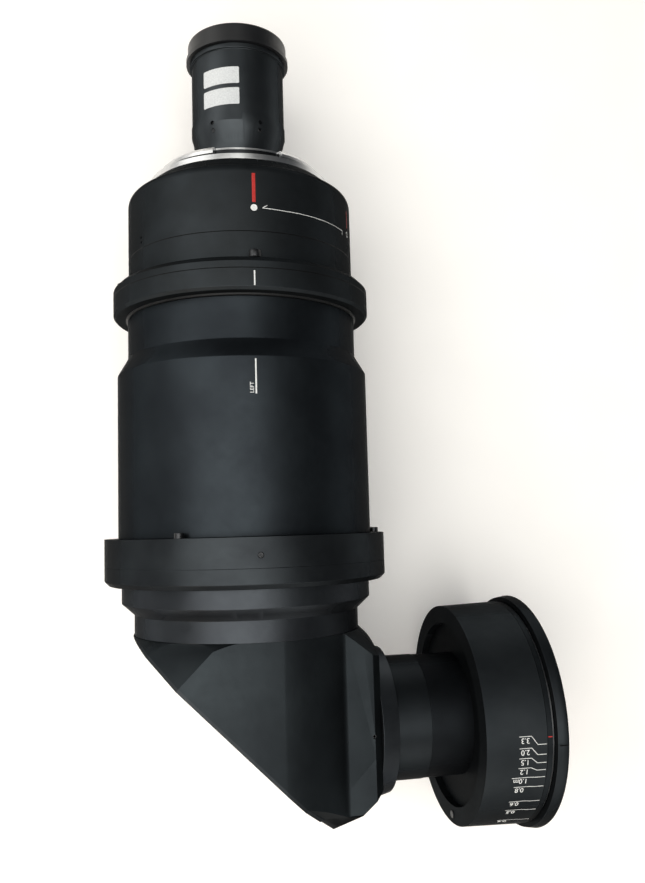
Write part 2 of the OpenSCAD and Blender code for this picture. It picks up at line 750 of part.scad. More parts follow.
// The rear tube: a spigot in the sleeve, a collar under the cap and a seat for the rear lens.
module rear_tube() {
    color("#2b2b2e") turn_main([[tube_bore_r, rear_lens_low - seat_lean(rear_lens_r, rear_lens_dome, rear_lens_r - tube_bore_r)],
        [rear_lens_r, rear_lens_low], [rear_lens_r, tube_top],
        [tube_r, tube_top], [tube_r, collar_top], [collar_r, collar_top], [collar_r, collar_top - collar_t],
        [tube_r, collar_top - collar_t], [tube_r, sleeve_top], [tube_spigot_r, sleeve_top],
        [tube_spigot_r, tube_end], [tube_spigot_r - tube_wall, tube_end], [tube_spigot_r - tube_wall, sleeve_top],
        [tube_bore_r, sleeve_top + tube_wall]]);
}

module rear_lens() {
    color("lightblue", 0.5)
        turn_main(glass(rear_lens_r, rear_lens_low, rear_lens_low + rear_lens_t, rear_lens_dome, rear_lens_dome));
}

// The threaded ring that holds the rear lens.
module rear_lens_ring() {
    low = rear_lens_low + rear_lens_t;
    color("#333336") turn_main([[rear_lens_r - tube_wall, low + rear_lens_dome], [rear_lens_r, low],
        [rear_lens_r, tube_top - rear_lens_dome / 2],
        [rear_lens_r - tube_wall, tube_top - rear_lens_dome / 2]]);
}

// The rear relay cell: its snout holds the sleeve, its flange bolts under the barrel's web.
module relay_cell_rear() {
    top = base_y - barrel_web_t;
    lens_r = relay_rear_r - relay_wall;
    color("#1f1f22") turn_main([[snout_r - snout_wall, tube_end - turn_gap], [snout_r, tube_end - turn_gap],
        [snout_r, top], [relay_flange_r, top], [relay_flange_r, top - relay_flange_t],
        [relay_rear_r, top - relay_flange_t], [relay_rear_r, top - relay_rear_l], [lens_r, top - relay_rear_l],
        [lens_r, relay_rear_seat], [lens_r - relay_wall, relay_rear_seat + seat_lean(lens_r, relay_dome, relay_wall)],
        [lens_r - relay_wall, top - 2 * relay_flange_t], [snout_r - snout_wall, top - relay_flange_t]]);
}

module relay_lens_rear() {
    color("lightblue", 0.5) turn_main(glass(relay_rear_r - relay_wall, relay_rear_seat - relay_lens_t,
        relay_rear_seat, relay_dome, relay_dome));
}

module relay_ring_rear() {
    r = relay_rear_r - relay_wall;
    high = relay_rear_seat - relay_lens_t;
    color("#333336") turn_main(band_against(r, relay_wall, high, high - relay_lens_t / 2));
}

// The outline of a retaining ring that bears on a dome's edge.
function band_against(r, width, seat, end) =
    let (lean = sign(end - seat) * relay_dome)
    [[r - width, seat + lean], [r, seat], [r, end], [r - width / 2, end + lean / 2], [r - width, end + lean / 2]];

// The lift-off cap on the rear tube: a cup with a lip.
module rear_cap() {
    top = tube_top + turn_gap + cap_end_t;
    bore = tube_r + turn_gap;
    color("#1c1c1e") turn_main(concat(
        [[0, tube_top + turn_gap], [bore, tube_top + turn_gap], [bore, cap_open], [cap_lip_r, cap_open],
            [cap_lip_r, cap_open + cap_lip_l], [cap_r, cap_open + cap_lip_l]],
        edge_round(cap_r, top, cap_round), [[0, top]]));
}

// The spigot that the elbow turns on, with its flange under the body's web.
module turning_spigot() {
    flange_top = neck_top - body_web_t;
    color("#8a8a90") turn_main([[spigot_bore_r, flange_top - spigot_flange_t],
        [spigot_flange_r, flange_top - spigot_flange_t], [spigot_flange_r, flange_top], [spigot_r, flange_top],
        [spigot_r, clamp_end + turn_gap + nut_t], [spigot_bore_r, clamp_end + turn_gap + nut_t]]);
}

// The nut that traps the index ring on the spigot.
module spigot_nut() {
    color("#6f6f75") turn_main(band(spigot_r, nut_r, clamp_end + turn_gap, clamp_end + turn_gap + nut_t));
}

// The elbow's body: neck, cone and wide tube in one piece, with a web at the neck.
module body_tube() {
    color("#232327") turn_main([[spigot_r, neck_top], [neck_r, neck_top], [neck_r, neck_end], [body_r, cone_end],
        [body_r, body_end], [body_bore_r, body_end], [body_bore_r, cone_end], [neck_bore_r, neck_end],
        [neck_bore_r, neck_top - body_web_t], [spigot_r, neck_top - body_web_t]]);
}

// The places of the flange's cap screws, between the tube and the flange's edge.
module at_flange_screws(y) {
    for (i = [0:flange_screw_count - 1]) at_main(flange_screw_angle + 360 * i / flange_screw_count, y)
        translate([(body_r + flange_r) / 2, 0, 0]) children();
}

module flange_upper() {
    color("#1d1d20") difference() {
        turn_main([[relay_front_r, flange_mid], [flange_r, flange_mid], [flange_r, body_end],
            [body_bore_r, body_end], [body_bore_r, body_end + flange_spigot_l],
            [flange_bore_r, body_end + flange_spigot_l], [flange_bore_r, body_end], [relay_front_r, body_end]]);
        at_flange_screws(flange_mid - over) cylinder(h = flange_upper_t + 2 * over, r = flange_shank_r + screw_gap);
        at_main(flange_set_angle, body_end - flange_set_inset) radial_rod(flange_set_r, flange_bore_r, flange_r + over);
    }
}

module flange_lower() {
    color("#1d1d20") difference() {
        turn_main([[flange_bore_r, flange_end], [flange_r - flange_chamfer, flange_end],
            [flange_r, flange_end + flange_chamfer], [flange_r, flange_mid], [relay_flange_front_r, flange_mid],
            [relay_flange_front_r, flange_mid - relay_flange_t], [flange_bore_r, flange_mid - relay_flange_t]]);
        at_flange_screws(flange_mid - flange_lower_t / 2) cylinder(h = flange_lower_t, r = flange_shank_r + screw_gap);
    }
}

module flange_screws() {
    color("gray") at_flange_screws(body_end)
        head_screw(flange_head_r, flange_head_h, flange_shank_r, flange_upper_t + flange_lower_t / 2);
}

module flange_set_screw() {
    color("gray") at_main(flange_set_angle, body_end - flange_set_inset)
        radial_rod(flange_set_r, flange_bore_r, flange_r - set_sink);
}

// The front relay cell, held by its flange between the two flange rings.
module relay_cell_front() {
    bore = relay_front_r - relay_wall;
    color("#1f1f22") turn_main([[bore - relay_wall, flange_mid - relay_flange_t],
        [relay_flange_front_r, flange_mid - relay_flange_t], [relay_flange_front_r, flange_mid],
        [relay_front_r, flange_mid], [relay_front_r, flange_mid + relay_front_l], [bore, flange_mid + relay_front_l],
        [bore, relay_front_seat], [bore - relay_wall, relay_front_seat - seat_lean(bore, relay_dome, relay_wall)]]);
}

module relay_lens_front() {
    color("lightblue", 0.5) turn_main(glass(relay_front_r - relay_wall, relay_front_seat,
        relay_front_seat + relay_lens_t, relay_dome, relay_dome));
}

module relay_ring_front() {
    r = relay_front_r - relay_wall;
    low = relay_front_seat + relay_lens_t;
    color("#333336") turn_main(band_against(r, relay_wall, low, low + relay_lens_t / 2));
}

// The stepped adapter between the flange and the mirror housing.
module mirror_adapter() {
    spigot = adapter_bore_r + adapter_spigot_t;
    color("#1d1d20") turn_main([[adapter_bore_r, adapter_end - adapter_spigot_l],
        [spigot, adapter_end - adapter_spigot_l], [spigot, adapter_end], [housing_r, adapter_end],
        [housing_r, adapter_cone_end], [adapter_r, adapter_straight_end], [adapter_r, flange_end],
        [spigot, flange_end], [spigot, adapter_straight_end], [adapter_bore_r, adapter_cone_end]]);
}

// Half of the housing's outline across the main axis: flat, then round, then a fillet down to the output block.
function section_half(steps = 24) =
    let (centre = [sqrt(pow(housing_r + block_fillet, 2) - pow(block_z + block_fillet, 2)), block_z + block_fillet],
        flat_angle = asin(flat_z / housing_r),
        touch_angle = atan2(centre[1], centre[0]))
    concat([[-reach, flat_z]],
        [for (i = [0:steps]) let (a = flat_angle + (touch_angle - flat_angle) * i / steps)
            housing_r * [cos(a), sin(a)]],
        [for (i = [1:6]) let (a = touch_angle - 180 + (90 - touch_angle) * i / 6)
            centre + block_fillet * [cos(a), sin(a)]],
        [[face_x - face_chamfer, block_z], [face_x, block_z - face_chamfer]]);

module housing_section() {
    half = section_half();
    polygon(concat(half, back([for (point = half) [point[0], -point[1]]])));
}

// The outer form that the housing and its cover share, down to a plane outside the mirror's face.
module housing_form(depth) {
    edge = depth * sqrt(2);
    intersection() {
        translate([0, adapter_end, 0]) rotate([90, 0, 0]) linear_extrude(fold_drop + low_side) housing_section();
        translate([0, fold_y, -reach]) linear_extrude(2 * reach) polygon([[-fold_drop - edge, fold_drop],
            [face_x, fold_drop], [face_x, corner_y - low_side], [face_x - corner_x, -low_side],
            [low_side - edge, -low_side]]);
        on_mirror() translate([0, reach, 0]) rotate([90, 0, 0]) linear_extrude(2 * reach) bevel_outline();
        turn_main([[0, adapter_end], [housing_r + cone_step, adapter_end],
            [housing_r + cone_step + reach, adapter_end - reach], [0, adapter_end - reach]]);
    }
}

// The bevels square to the mirror's face, at its far and near ends.
module bevel_outline() {
    peak = [(bevel_near - bevel_far) / 2, (bevel_near + bevel_far) / 2];
    polygon([[-bevel_far, 0], peak, [bevel_near, 0], [peak[0], -peak[1]]]);
}

// The machined mirror housing, with the light path in and out and the mirror's pocket.
module mirror_housing() {
    spigot = adapter_bore_r + adapter_spigot_t;
    color("#1a1a1c") difference() {
        housing_form(mirror_face);
        on_main() translate([0, 0, fold_y - low_side + path_floor])
            cylinder(h = fold_drop + low_side, r = path_in_r);
        on_main() translate([0, 0, adapter_end - adapter_spigot_l]) cylinder(h = adapter_spigot_l + over, r = spigot);
        on_output() translate([0, 0, -path_out_r]) cylinder(h = face_x + path_out_r + over, r = path_out_r);
        on_output() translate([0, 0, face_x - out_neck_depth]) cylinder(h = out_neck_depth + over, r = out_neck_r);
        on_mirror() translate([-mirror_l / 2 - pocket_gap, -mirror_face - over, -mirror_w / 2 - pocket_gap])
            cube([mirror_l + 2 * pocket_gap, mirror_face + over, mirror_w + 2 * pocket_gap]);
        cover_screw_rods(cover_shank_r + screw_gap, cover_screw_l - cover_t + over);
        out_screw_holes(out_head_r / 2 + screw_gap);
        at_output(0, housing_set_x) radial_rod(housing_set_r, out_neck_r - over, block_z + over);
    }
}

// The set screw that holds the output neck in the housing.
module housing_set_screw() {
    color("gray") at_output(0, housing_set_x) radial_rod(housing_set_r, out_neck_r, block_z - set_sink);
}

// Rods at the cover screws, from outside the mirror's face into the housing.
module cover_screw_rods(r, depth) {
    for (place = cover_screw_places) on_mirror() translate([place[0], -mirror_face + depth, place[1]])
        rotate([90, 0, 0]) cylinder(h = depth + cover_t + over, r = r);
}

module fold_mirror() {
    color("lightsteelblue") on_mirror() translate([-mirror_l / 2, -mirror_t, -mirror_w / 2])
        cube([mirror_l, mirror_t, mirror_w]);
}

// The rubber pads that press the mirror on its seat.
module mirror_pads() {
    color("#111111") on_mirror() for (x = [-1, 1], z = [-1, 1])
        translate([x * (mirror_l - 2 * pad_w) / 2 - pad_w / 2, -mirror_face, z * (mirror_w - 2 * pad_w) / 2 - pad_w / 2])
            cube([pad_w, pad_t, pad_w]);
}

module mirror_cover() {
    color("#28282b") difference() {
        intersection() {
            housing_form(mirror_face + cover_t + over);
            on_mirror() translate([-reach, -mirror_face - cover_t, -reach]) cube([2 * reach, cover_t, 2 * reach]);
        }
        cover_screw_rods(cover_shank_r + screw_gap, over);
    }
}

module cover_screws() {
    color("dimgray") for (place = cover_screw_places)
        on_mirror() translate([place[0], -mirror_face - cover_t, place[1]]) rotate([90, 0, 0])
            head_screw(cover_head_r, cover_head_h, cover_shank_r, cover_screw_l);
}

module at_out_screws(x) {
    for (i = [0:out_screw_count - 1]) at_output(45 + 360 * i / out_screw_count, x)
        translate([out_screw_at_r, 0, 0]) children();
}

module out_screw_holes(r) {
    at_out_screws(face_x - out_flange_t) cylinder(h = 2 * out_flange_t + over, r = r);
}

module output_flange() {
    color("#26262a") difference() {
        turn_output([[out_neck_r, face_x], [out_flange_r, face_x], [out_flange_front_r, flange_front_x],
            [out_neck_r, flange_front_x]]);
        out_screw_holes(out_head_r / 2 + screw_gap);
        at_out_screws(flange_front_x - out_head_r) cylinder(h = 2 * out_head_r, r = out_head_r + screw_gap);
    }
}

module output_flange_screws() {
    color("dimgray") at_out_screws(flange_front_x - out_head_r)
        head_screw(out_head_r, out_head_r * 0.8, out_head_r / 2, out_flange_t);
}

// The output neck: a tube that stands in the housing and holds the carrier's spigot.
module output_neck() {
    step = out_bore_r + carrier_spigot_t;
    color("#2a2a2d") turn_output([[out_bore_r, face_x - out_neck_depth], [out_neck_r, face_x - out_neck_depth],
        [out_neck_r, neck_front_x], [step, neck_front_x], [step, neck_front_x - carrier_spigot_l],
        [out_bore_r, neck_front_x - carrier_spigot_l]]);
}

// The carrier: a tube with a spigot in the neck and a flange inside the front barrel.
module focus_carrier() {
    step = out_bore_r + carrier_spigot_t;
    color("#222225") turn_output([[out_bore_r, neck_front_x - carrier_spigot_l], [step, neck_front_x - carrier_spigot_l],
        [step, neck_front_x], [carrier_r, neck_front_x], [carrier_r, drum_inner_x], [carrier_flange_r, drum_inner_x],
        [carrier_flange_r, drum_inner_x + carrier_flange_t], [out_bore_r, drum_inner_x + carrier_flange_t]]);
}

// The fixed front barrel: a drum under the focus ring, the index ring in front of it and the nose of the rim.
module front_barrel() {
    bore = cell_r + run_gap;
    nose_bore = cell_head_r + turn_gap;
    color("#2a2a2d") difference() {
        turn_output([[carrier_r, drum_back_x], [drum_r, drum_back_x], [drum_r, index_back_x],
            [index_ring_r, index_back_x], [index_ring_r, index_front_x], [groove_r, index_front_x],
            [groove_r, rim_front_x - rim_lip_t], [nose_bore, rim_front_x - rim_lip_t], [nose_bore, index_front_x],
            [bore, index_front_x], [bore, drum_inner_x], [carrier_r, drum_inner_x]]);
        for (i = [0:cam_count - 1]) cam_slot(cam_angle + 360 * i / cam_count);
    }
}

// A straight slot for one cam pin, through the drum's wall.
module cam_slot(angle) {
    width = cam_pin_r + turn_gap;
    low = pin_x - focus_lead * focus_over * PI / 180 - turn_gap;
    high = pin_x + focus_lead * focus_turn * PI / 180 + turn_gap;
    for (x = [low, high]) at_output(angle, x) radial_rod(width, cell_bore_r, drum_r + over);
    at_output(angle, low) translate([cell_bore_r, -width, 0]) cube([drum_r + over - cell_bore_r, 2 * width, high - low]);
}

module bright_ring() {
    middle = (index_front_x + rim_back_x) / 2;
    color("lightgray") turn_output(band(groove_r, groove_r + bright_h, middle - bright_t / 2, middle + bright_t / 2));
}

// The wide rim on the front barrel's nose.
module front_rim() {
    lip_x = rim_front_x - rim_lip_t;
    color("#2a2a2d") turn_output(concat([[groove_r, rim_back_x], [rim_back_r, rim_back_x]],
        edge_round(rim_front_r, rim_front_x, rim_round),
        [[rim_opening_r + rim_lip_t / 2, rim_front_x], [rim_opening_r, lip_x], [groove_r, lip_x]]));
}

// The focus ring, with a screw-shaped groove inside for each cam pin.
module focus_ring() {
    color("#1e1e21") difference() {
        turn_output([[drum_r + run_gap, focus_back_x], [focus_back_r, focus_back_x], [focus_front_r, focus_front_x],
            [drum_r + run_gap, focus_front_x]]);
        for (i = [0:cam_count - 1]) cam_groove(cam_angle + 360 * i / cam_count);
        at_output(stop_angle, focus_back_x - over) translate([stop_at_r, 0, 0])
            cylinder(h = 3 * stop_head_r + over, r = stop_head_r / 2 + screw_gap);
    }
}

// The path of one cam pin in the focus ring, as a row of round pockets that run together.
module cam_groove(angle) {
    steps = 20;
    from = -focus_over - 1;
    to = focus_turn + 1;
    for (i = [0:steps]) let (turn = from + (to - from) * i / steps)
        at_output(angle - turn, pin_x + focus_lead * turn * PI / 180)
            radial_rod(cam_pin_r + 2 * turn_gap, drum_r - over, drum_r + cam_depth + turn_gap);
}

module focus_stop_screw() {
    color("silver") at_output(stop_angle, focus_back_x) translate([stop_at_r, 0, 0]) difference() {
        mirror([0, 0, 1]) head_screw(stop_head_r, stop_head_h, stop_head_r / 2, 2 * stop_head_r);
        translate([-2 * stop_head_r, -stop_head_r / 8, -stop_head_h - over])
            cube([4 * stop_head_r, stop_head_r / 4, stop_head_h / 2 + over]);
    }
}

// The sliding cell with its wide head for the front lens.
module front_cell() {
    seat_x = head_back_x + cell_head_t;
    color("#18181a") difference() {
        turn_output([[cell_bore_r, cell_back_x], [cell_r, cell_back_x], [cell_r, head_back_x],
            [cell_head_r, head_back_x], [cell_head_r, head_front_x], [front_lens_r, head_front_x],
            [front_lens_r, seat_x], [cell_bore_r + cell_wall / 2, seat_x], [cell_bore_r, head_back_x]]);
        for (i = [0:cam_count - 1]) at_output(cam_angle + 360 * i / cam_count, pin_x)
            radial_rod(cam_pin_r, cell_bore_r - over, cell_r + over);
    }
}

module front_lens() {
    seat_x = head_back_x + cell_head_t;
    color("lightblue", 0.4) turn_output(glass(front_lens_r, seat_x, seat_x + front_lens_t, -front_dome / 2, front_dome));
}

module front_lens_ring() {
    low = head_back_x + cell_head_t + front_lens_t;
    color("#333336") turn_output([[front_lens_r - front_ring_w, low + front_ring_t / 2], [front_lens_r, low],
        [front_lens_r, low + front_ring_t], [front_lens_r - front_ring_w, low + front_ring_t]]);
}

module inner_lens() {
    middle = cell_back_x + cell_l / 2;
    color("lightblue", 0.4) turn_output(glass(cell_bore_r, cell_back_x + inner_dome, cell_back_x + inner_dome + inner_lens_t,
        inner_dome, inner_dome));
}

// The pins that carry the focus ring's turn to the sliding cell.
module cam_pins() {
    color("gainsboro") for (i = [0:cam_count - 1]) at_output(cam_angle + 360 * i / cam_count, pin_x)
        radial_rod(cam_pin_r, cell_bore_r, drum_r + cam_depth);
}

bayonet_ring();
bayonet_screws();
locating_pin();
marked_barrel();
barrel_set_screws();
lower_barrel();
clamp_ring();
clamp_screws();
index_flange();
slip_washer();
rear_sleeve();
sleeve_set_screws();
rear_tube();
rear_lens();
rear_lens_ring();
relay_cell_rear();
relay_lens_rear();
relay_ring_rear();
rear_cap();
turning_spigot();
spigot_nut();
body_tube();
flange_upper();
flange_lower();
flange_screws();
flange_set_screw();
relay_cell_front();
relay_lens_front();
relay_ring_front();
mirror_adapter();
mirror_housing();
housing_set_screw();
fold_mirror();
mirror_pads();
mirror_cover();
cover_screws();
output_flange();
output_flange_screws();
output_neck();
focus_carrier();
front_barrel();
bright_ring();
front_rim();
focus_ring();
focus_stop_screw();
front_cell();
front_lens();
inner_lens();
front_lens_ring();
cam_pins();
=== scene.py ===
"""Looks of a projection lens with a mirror elbow: finishes, soft edges, screws, marks, floor, light and camera."""
import json
import math

import bmesh
import bpy
from mathutils import Euler, Matrix, Vector


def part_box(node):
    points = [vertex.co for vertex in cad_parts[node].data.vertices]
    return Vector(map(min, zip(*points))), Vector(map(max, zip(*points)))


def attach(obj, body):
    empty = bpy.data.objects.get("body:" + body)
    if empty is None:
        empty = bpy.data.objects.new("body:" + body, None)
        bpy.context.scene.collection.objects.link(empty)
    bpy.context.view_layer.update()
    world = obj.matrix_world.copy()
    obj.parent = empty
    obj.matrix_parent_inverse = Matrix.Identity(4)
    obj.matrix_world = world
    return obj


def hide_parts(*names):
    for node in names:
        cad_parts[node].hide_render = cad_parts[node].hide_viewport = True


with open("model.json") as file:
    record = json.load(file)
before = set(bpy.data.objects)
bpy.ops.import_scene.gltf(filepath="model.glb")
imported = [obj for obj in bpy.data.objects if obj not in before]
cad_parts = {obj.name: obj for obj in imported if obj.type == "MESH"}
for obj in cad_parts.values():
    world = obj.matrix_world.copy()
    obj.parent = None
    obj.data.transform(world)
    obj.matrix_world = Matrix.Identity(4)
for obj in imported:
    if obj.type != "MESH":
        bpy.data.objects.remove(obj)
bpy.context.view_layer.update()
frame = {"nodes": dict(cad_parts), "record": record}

MM = 0.001

# Places and radii of the object, in millimetres, as in the part's source. The main axis is Y, and the output axis
# runs along X through FOLD_Y.
FOLD_Y = -327.8
BARREL_R = 68.3
INDEX_R = 77.3
BODY_R = 75.0
TUBE_R = 28.8
SEAM_Y = -49.7
CLAMP_TOP_Y = -66.0
FLANGE_TOP_Y = -215.1
FLANGE_SCREW_R = 78.95
BAYONET_FACE_Y, BAYONET_SCREW_R = 5.2, 42.25
# The radius and top of the wall under the bayonet's lugs, which is darkened with painted shade
LUG_WALL_R, LUG_WALL_TOP = 46.7, 6.3
OUTPUT_FACE_X, OUTPUT_SCREW_R = 77.6, 39.5
FOCUS_BACK_X, FOCUS_FRONT_X = 122.4, 157.5
FOCUS_BACK_R, FOCUS_FRONT_R = 64.9, 66.1
INDEX_RING_R = 66.0

# The mirror housing's section: the radius of its round, the height of its flat, the half thickness and the face of
# its output block, and the chamfer and fillet beside them
HOUSING_R, FLAT_Z, BLOCK_Z, FACE_X = 66.0, 65.0, 45.0, 70.0
FACE_CHAMFER, FILLET = 5.0, 4.0

# The housing's foot: the low side under the output axis, the slope of the point, the corner's cut along X and Y,
# the distance along the mirror at which the near bevel starts, and the outer faces of housing and cover, as
# distances outside the mirror's plane, with the seat of the cover's screws between them. The foot laps a little
# into the housing, and its section is scaled to stand 0.02 mm proud, so that no two faces lie in one plane.
LOW_SIDE, FOOT_SLOPE = -41.7, 1.5
CUT_X, CUT_Y = 13.2, 11.0
BEVEL_NEAR = 100.0
MIRROR_FACE, COVER_FACE = 5.0, 6.8
COVER_SEAT = 5.55
FOOT_LAP, FOOT_PROUD = 0.5, 1.0003

# Thicknesses of prints and labels, and how far they stand off the metal
INK, DOT_INK, FILM, STANDOFF = 0.07, 0.05, 0.08, 0.02

# The floor's distance from the origin in millimetres and its upward direction, which follow from the three rings
# that rest on it, and its glow as the eye sees it
FLOOR_DEPTH = -75.0
FLOOR_UP = (-0.104, -0.0376, 0.994)
FLOOR_GLOW = 0.22


# Small tools for nodes and colours

def linear(code):
    """An sRGB hex colour as the linear colour that a socket takes."""
    parts = [int(code[i:i + 2], 16) / 255 for i in (1, 3, 5)]
    return [p / 12.92 if p <= 0.04045 else ((p + 0.055) / 1.055) ** 2.4 for p in parts] + [1.0]


def fill(tree, socket, value):
    """Gives a socket a number, a colour or another node's output."""
    if isinstance(value, bpy.types.NodeSocket):
        tree.links.new(value, socket)
    else:
        socket.default_value = value


def add(tree, kind, sockets=None, **settings):
    """Adds a node with its settings and its sockets' values."""
    new = tree.nodes.new(kind)
    for name, value in settings.items():
        setattr(new, name, value)
    for key, value in (sockets or {}).items():
        fill(tree, new.inputs[key], value)
    return new


def maths(tree, operation, *values):
    """The result of one math node."""
    return add(tree, "ShaderNodeMath", dict(enumerate(values)), operation=operation).outputs[0]


def new_material(name):
    """An empty material and its node tree."""
    made = bpy.data.materials.new(name)
    made.use_nodes = True
    made.node_tree.nodes.clear()
    return made, made.node_tree


def surface(tree, sockets):
    """Ends a material's tree with one shader and its output."""
    shader = add(tree, "ShaderNodeBsdfPrincipled", sockets)
    add(tree, "ShaderNodeOutputMaterial", {"Surface": shader.outputs[0]})


def grain(tree, size_mm, detail=3.0, stretch=None):
    """Noise whose features are size_mm wide. A stretch of 0 along an axis draws lines along it."""
    place = add(tree, "ShaderNodeTexCoord").outputs["Object"]
    if stretch:
        place = add(tree, "ShaderNodeMapping", {"Vector": place, "Scale": stretch}).outputs["Vector"]
    sockets = {"Vector": place, "Scale": 1 / (size_mm * MM), "Detail": detail}
    return add(tree, "ShaderNodeTexNoise", sockets).outputs["Fac"]


def spread(tree, value, low, high):
    """A noise value of 0.3 to 0.7 spread from low to high."""
    sockets = {"Value": value, "From Min": 0.3, "From Max": 0.7, "To Min": low, "To Max": high}
    return add(tree, "ShaderNodeMapRange", sockets).outputs["Result"]


def mixed(tree, fac, first, second):
    """Two colours mixed by a factor."""
    new = add(tree, "ShaderNodeMix", data_type="RGBA", blend_type="MIX")
    for index, value in ((0, fac), (6, first), (7, second)):
        fill(tree, new.inputs[index], value)
    return new.outputs[2]


def patches(tree, size_mm, detail, dark, light):
    """Soft patches of two hex colours."""
    return mixed(tree, spread(tree, grain(tree, size_mm, detail), 0.0, 1.0), linear(dark), linear(light))


def bumped(tree, heights):
    """One normal from several (height, depth in millimetres) pairs."""
    normal = None
    for height, depth in heights:
        sockets = {"Height": height, "Distance": depth * MM, "Strength": 1.0}
        if normal:
            sockets["Normal"] = normal
        normal = add(tree, "ShaderNodeBump", sockets).outputs["Normal"]
    return normal


# Finishes

def black_anodised(name, dark, light, rough, lines=None, metallic=0.9):
    """Satin black anodised aluminium, bead-blasted or turned: a dark sheen that follows the soft light, fine
    grit that breaks the highlight, and faint tool marks round the axis on turned pieces. Grit of 0.15 mm is
    drawn at 0.35 mm, so that it shows."""
    made, tree = new_material(name)
    heights = [(grain(tree, 0.35, 2.0), 0.012)]
    if lines:
        heights.append((grain(tree, 0.5, 1.0, lines), 0.006))
    surface(tree, {
        "Base Color": patches(tree, 26, 2.0, dark, light),
        "Metallic": metallic,
        "Roughness": spread(tree, grain(tree, 3.5), rough - 0.03, rough + 0.03),
        "Specular Tint": linear("#6a6a6a"),
        "Normal": bumped(tree, heights)})
    return made


def painted_wall_shade(tree, colour, radius_mm, top_mm):
    """A colour with painted shade on a wall round the main axis, within 1 mm of its radius and up to a height."""
    place = add(tree, "ShaderNodeTexCoord").outputs["Object"]
    across = add(tree, "ShaderNodeVectorMath", {0: place, 1: (1, 0, 1)}, operation="MULTIPLY").outputs[0]
    radius = add(tree, "ShaderNodeVectorMath", {0: across}, operation="LENGTH").outputs["Value"]
    along = add(tree, "ShaderNodeSeparateXYZ", {0: place}).outputs["Y"]
    near = maths(tree, "COMPARE", radius, radius_mm * MM, MM)
    below = maths(tree, "LESS_THAN", along, top_mm * MM)
    # Painted shade: the wall is mixed to dark grey #3a3c3e where it would lie in shade
    return mixed(tree, maths(tree, "MULTIPLY", near, below), colour, linear("#3a3c3e"))


def bare_metal(name, dark, light, rough, lines=None, shade_on_wall=None):
    """Bare turned metal, nickel-white or grey: bright, with tool marks of about 0.4 mm round the axis that
    streak its reflections. A wall can be given painted shade, for the dark gaps between lugs that lie in shade."""
    made, tree = new_material(name)
    marks = grain(tree, 0.4, 2.0, lines)
    colour = patches(tree, 9, 3.0, dark, light)
    surface(tree, {
        "Base Color": painted_wall_shade(tree, colour, *shade_on_wall) if shade_on_wall else colour,
        "Metallic": 1.0,
        "Roughness": spread(tree, marks, rough - 0.06, rough + 0.08),
        "Normal": bumped(tree, [(marks, 0.008)])})
    return made


def moulded_plastic(name, dark, light, rough, depth=0.02):
    """Moulded plastic with a spark-eroded texture: grains of about 0.5 mm and a soft sheen."""
    made, tree = new_material(name)
    texture = grain(tree, 0.5, 2.0)
    surface(tree, {
        "Base Color": patches(tree, 12, 2.0, dark, light),
        "Roughness": spread(tree, texture, rough - 0.05, rough + 0.05),
        "IOR": 1.5,
        "Normal": bumped(tree, [(texture, depth)])})
    return made


def coated_glass(name, tint):
    """Lens glass with an anti-reflection coat: clear, with a weak coloured sheen, and a few specks of dust."""
    made, tree = new_material(name)
    surface(tree, {
        "Base Color": patches(tree, 20, 1.0, tint, "#f4f8fa"),
        "Roughness": spread(tree, grain(tree, 0.6, 4.0), 0.01, 0.05),
        "IOR": 1.52,
        "Transmission Weight": 1.0,
        "Coat Weight": 0.4,
        "Coat Tint": linear("#9fb8e8")})
    return made


def print_ink(name, dark, light):
    """Screen-printed ink, or a label's film, on the anodised metal: matt, and a little uneven where the mesh of the
    screen left it thin."""
    made, tree = new_material(name)
    surface(tree, {
        "Base Color": patches(tree, 0.8, 2.0, dark, light),
        "Roughness": spread(tree, grain(tree, 0.3, 1.0), 0.5, 0.62),
        "IOR": 1.48})
    return made


# Tool marks that run round an axis: noise that changes along it alone
ALONG_Y, ALONG_X = (0.0, 1.0, 0.0), (1.0, 0.0, 0.0)

BARREL_BLACK = black_anodised("satin_black_anodised_barrel", "#2c2f31", "#33373a", 0.5, ALONG_Y)
TUBE_BLACK = black_anodised("satin_black_anodised_tube", "#3b3f42", "#44484b", 0.4, ALONG_Y)
BODY_BLACK = black_anodised("satin_black_anodised_body", "#292d31", "#303539", 0.44, ALONG_Y)
FLANGE_BLACK = black_anodised("satin_black_anodised_flange", "#2e3134", "#363a3d", 0.42, ALONG_Y)
ADAPTER_BLACK = black_anodised("satin_black_anodised_adapter", "#3a3d41", "#43474b", 0.40, ALONG_Y)
HOUSING_BLACK = black_anodised("blasted_black_anodised_housing", "#2c3033", "#33383b", 0.47)
COVER_BLACK = black_anodised("blasted_black_anodised_cover", "#383b3e", "#404346", 0.5)
OUTPUT_BLACK = black_anodised("satin_black_anodised_output", "#282b2e", "#2f3336", 0.42, ALONG_X)
CARRIER_BLACK = black_anodised("dull_black_anodised_carrier", "#1d1f22", "#232629", 0.5, ALONG_X)
FOCUS_BLACK = black_anodised("satin_black_anodised_focus", "#2e3235", "#363a3d", 0.48, ALONG_X)
INNER_BLACK = black_anodised("matt_black_anodised_inside", "#0c0c0d", "#121213", 0.6, metallic=0.3)
SILVER = bare_metal("bright_turned_steel", "#c4c5c6", "#dcdddd", 0.3, ALONG_Y)
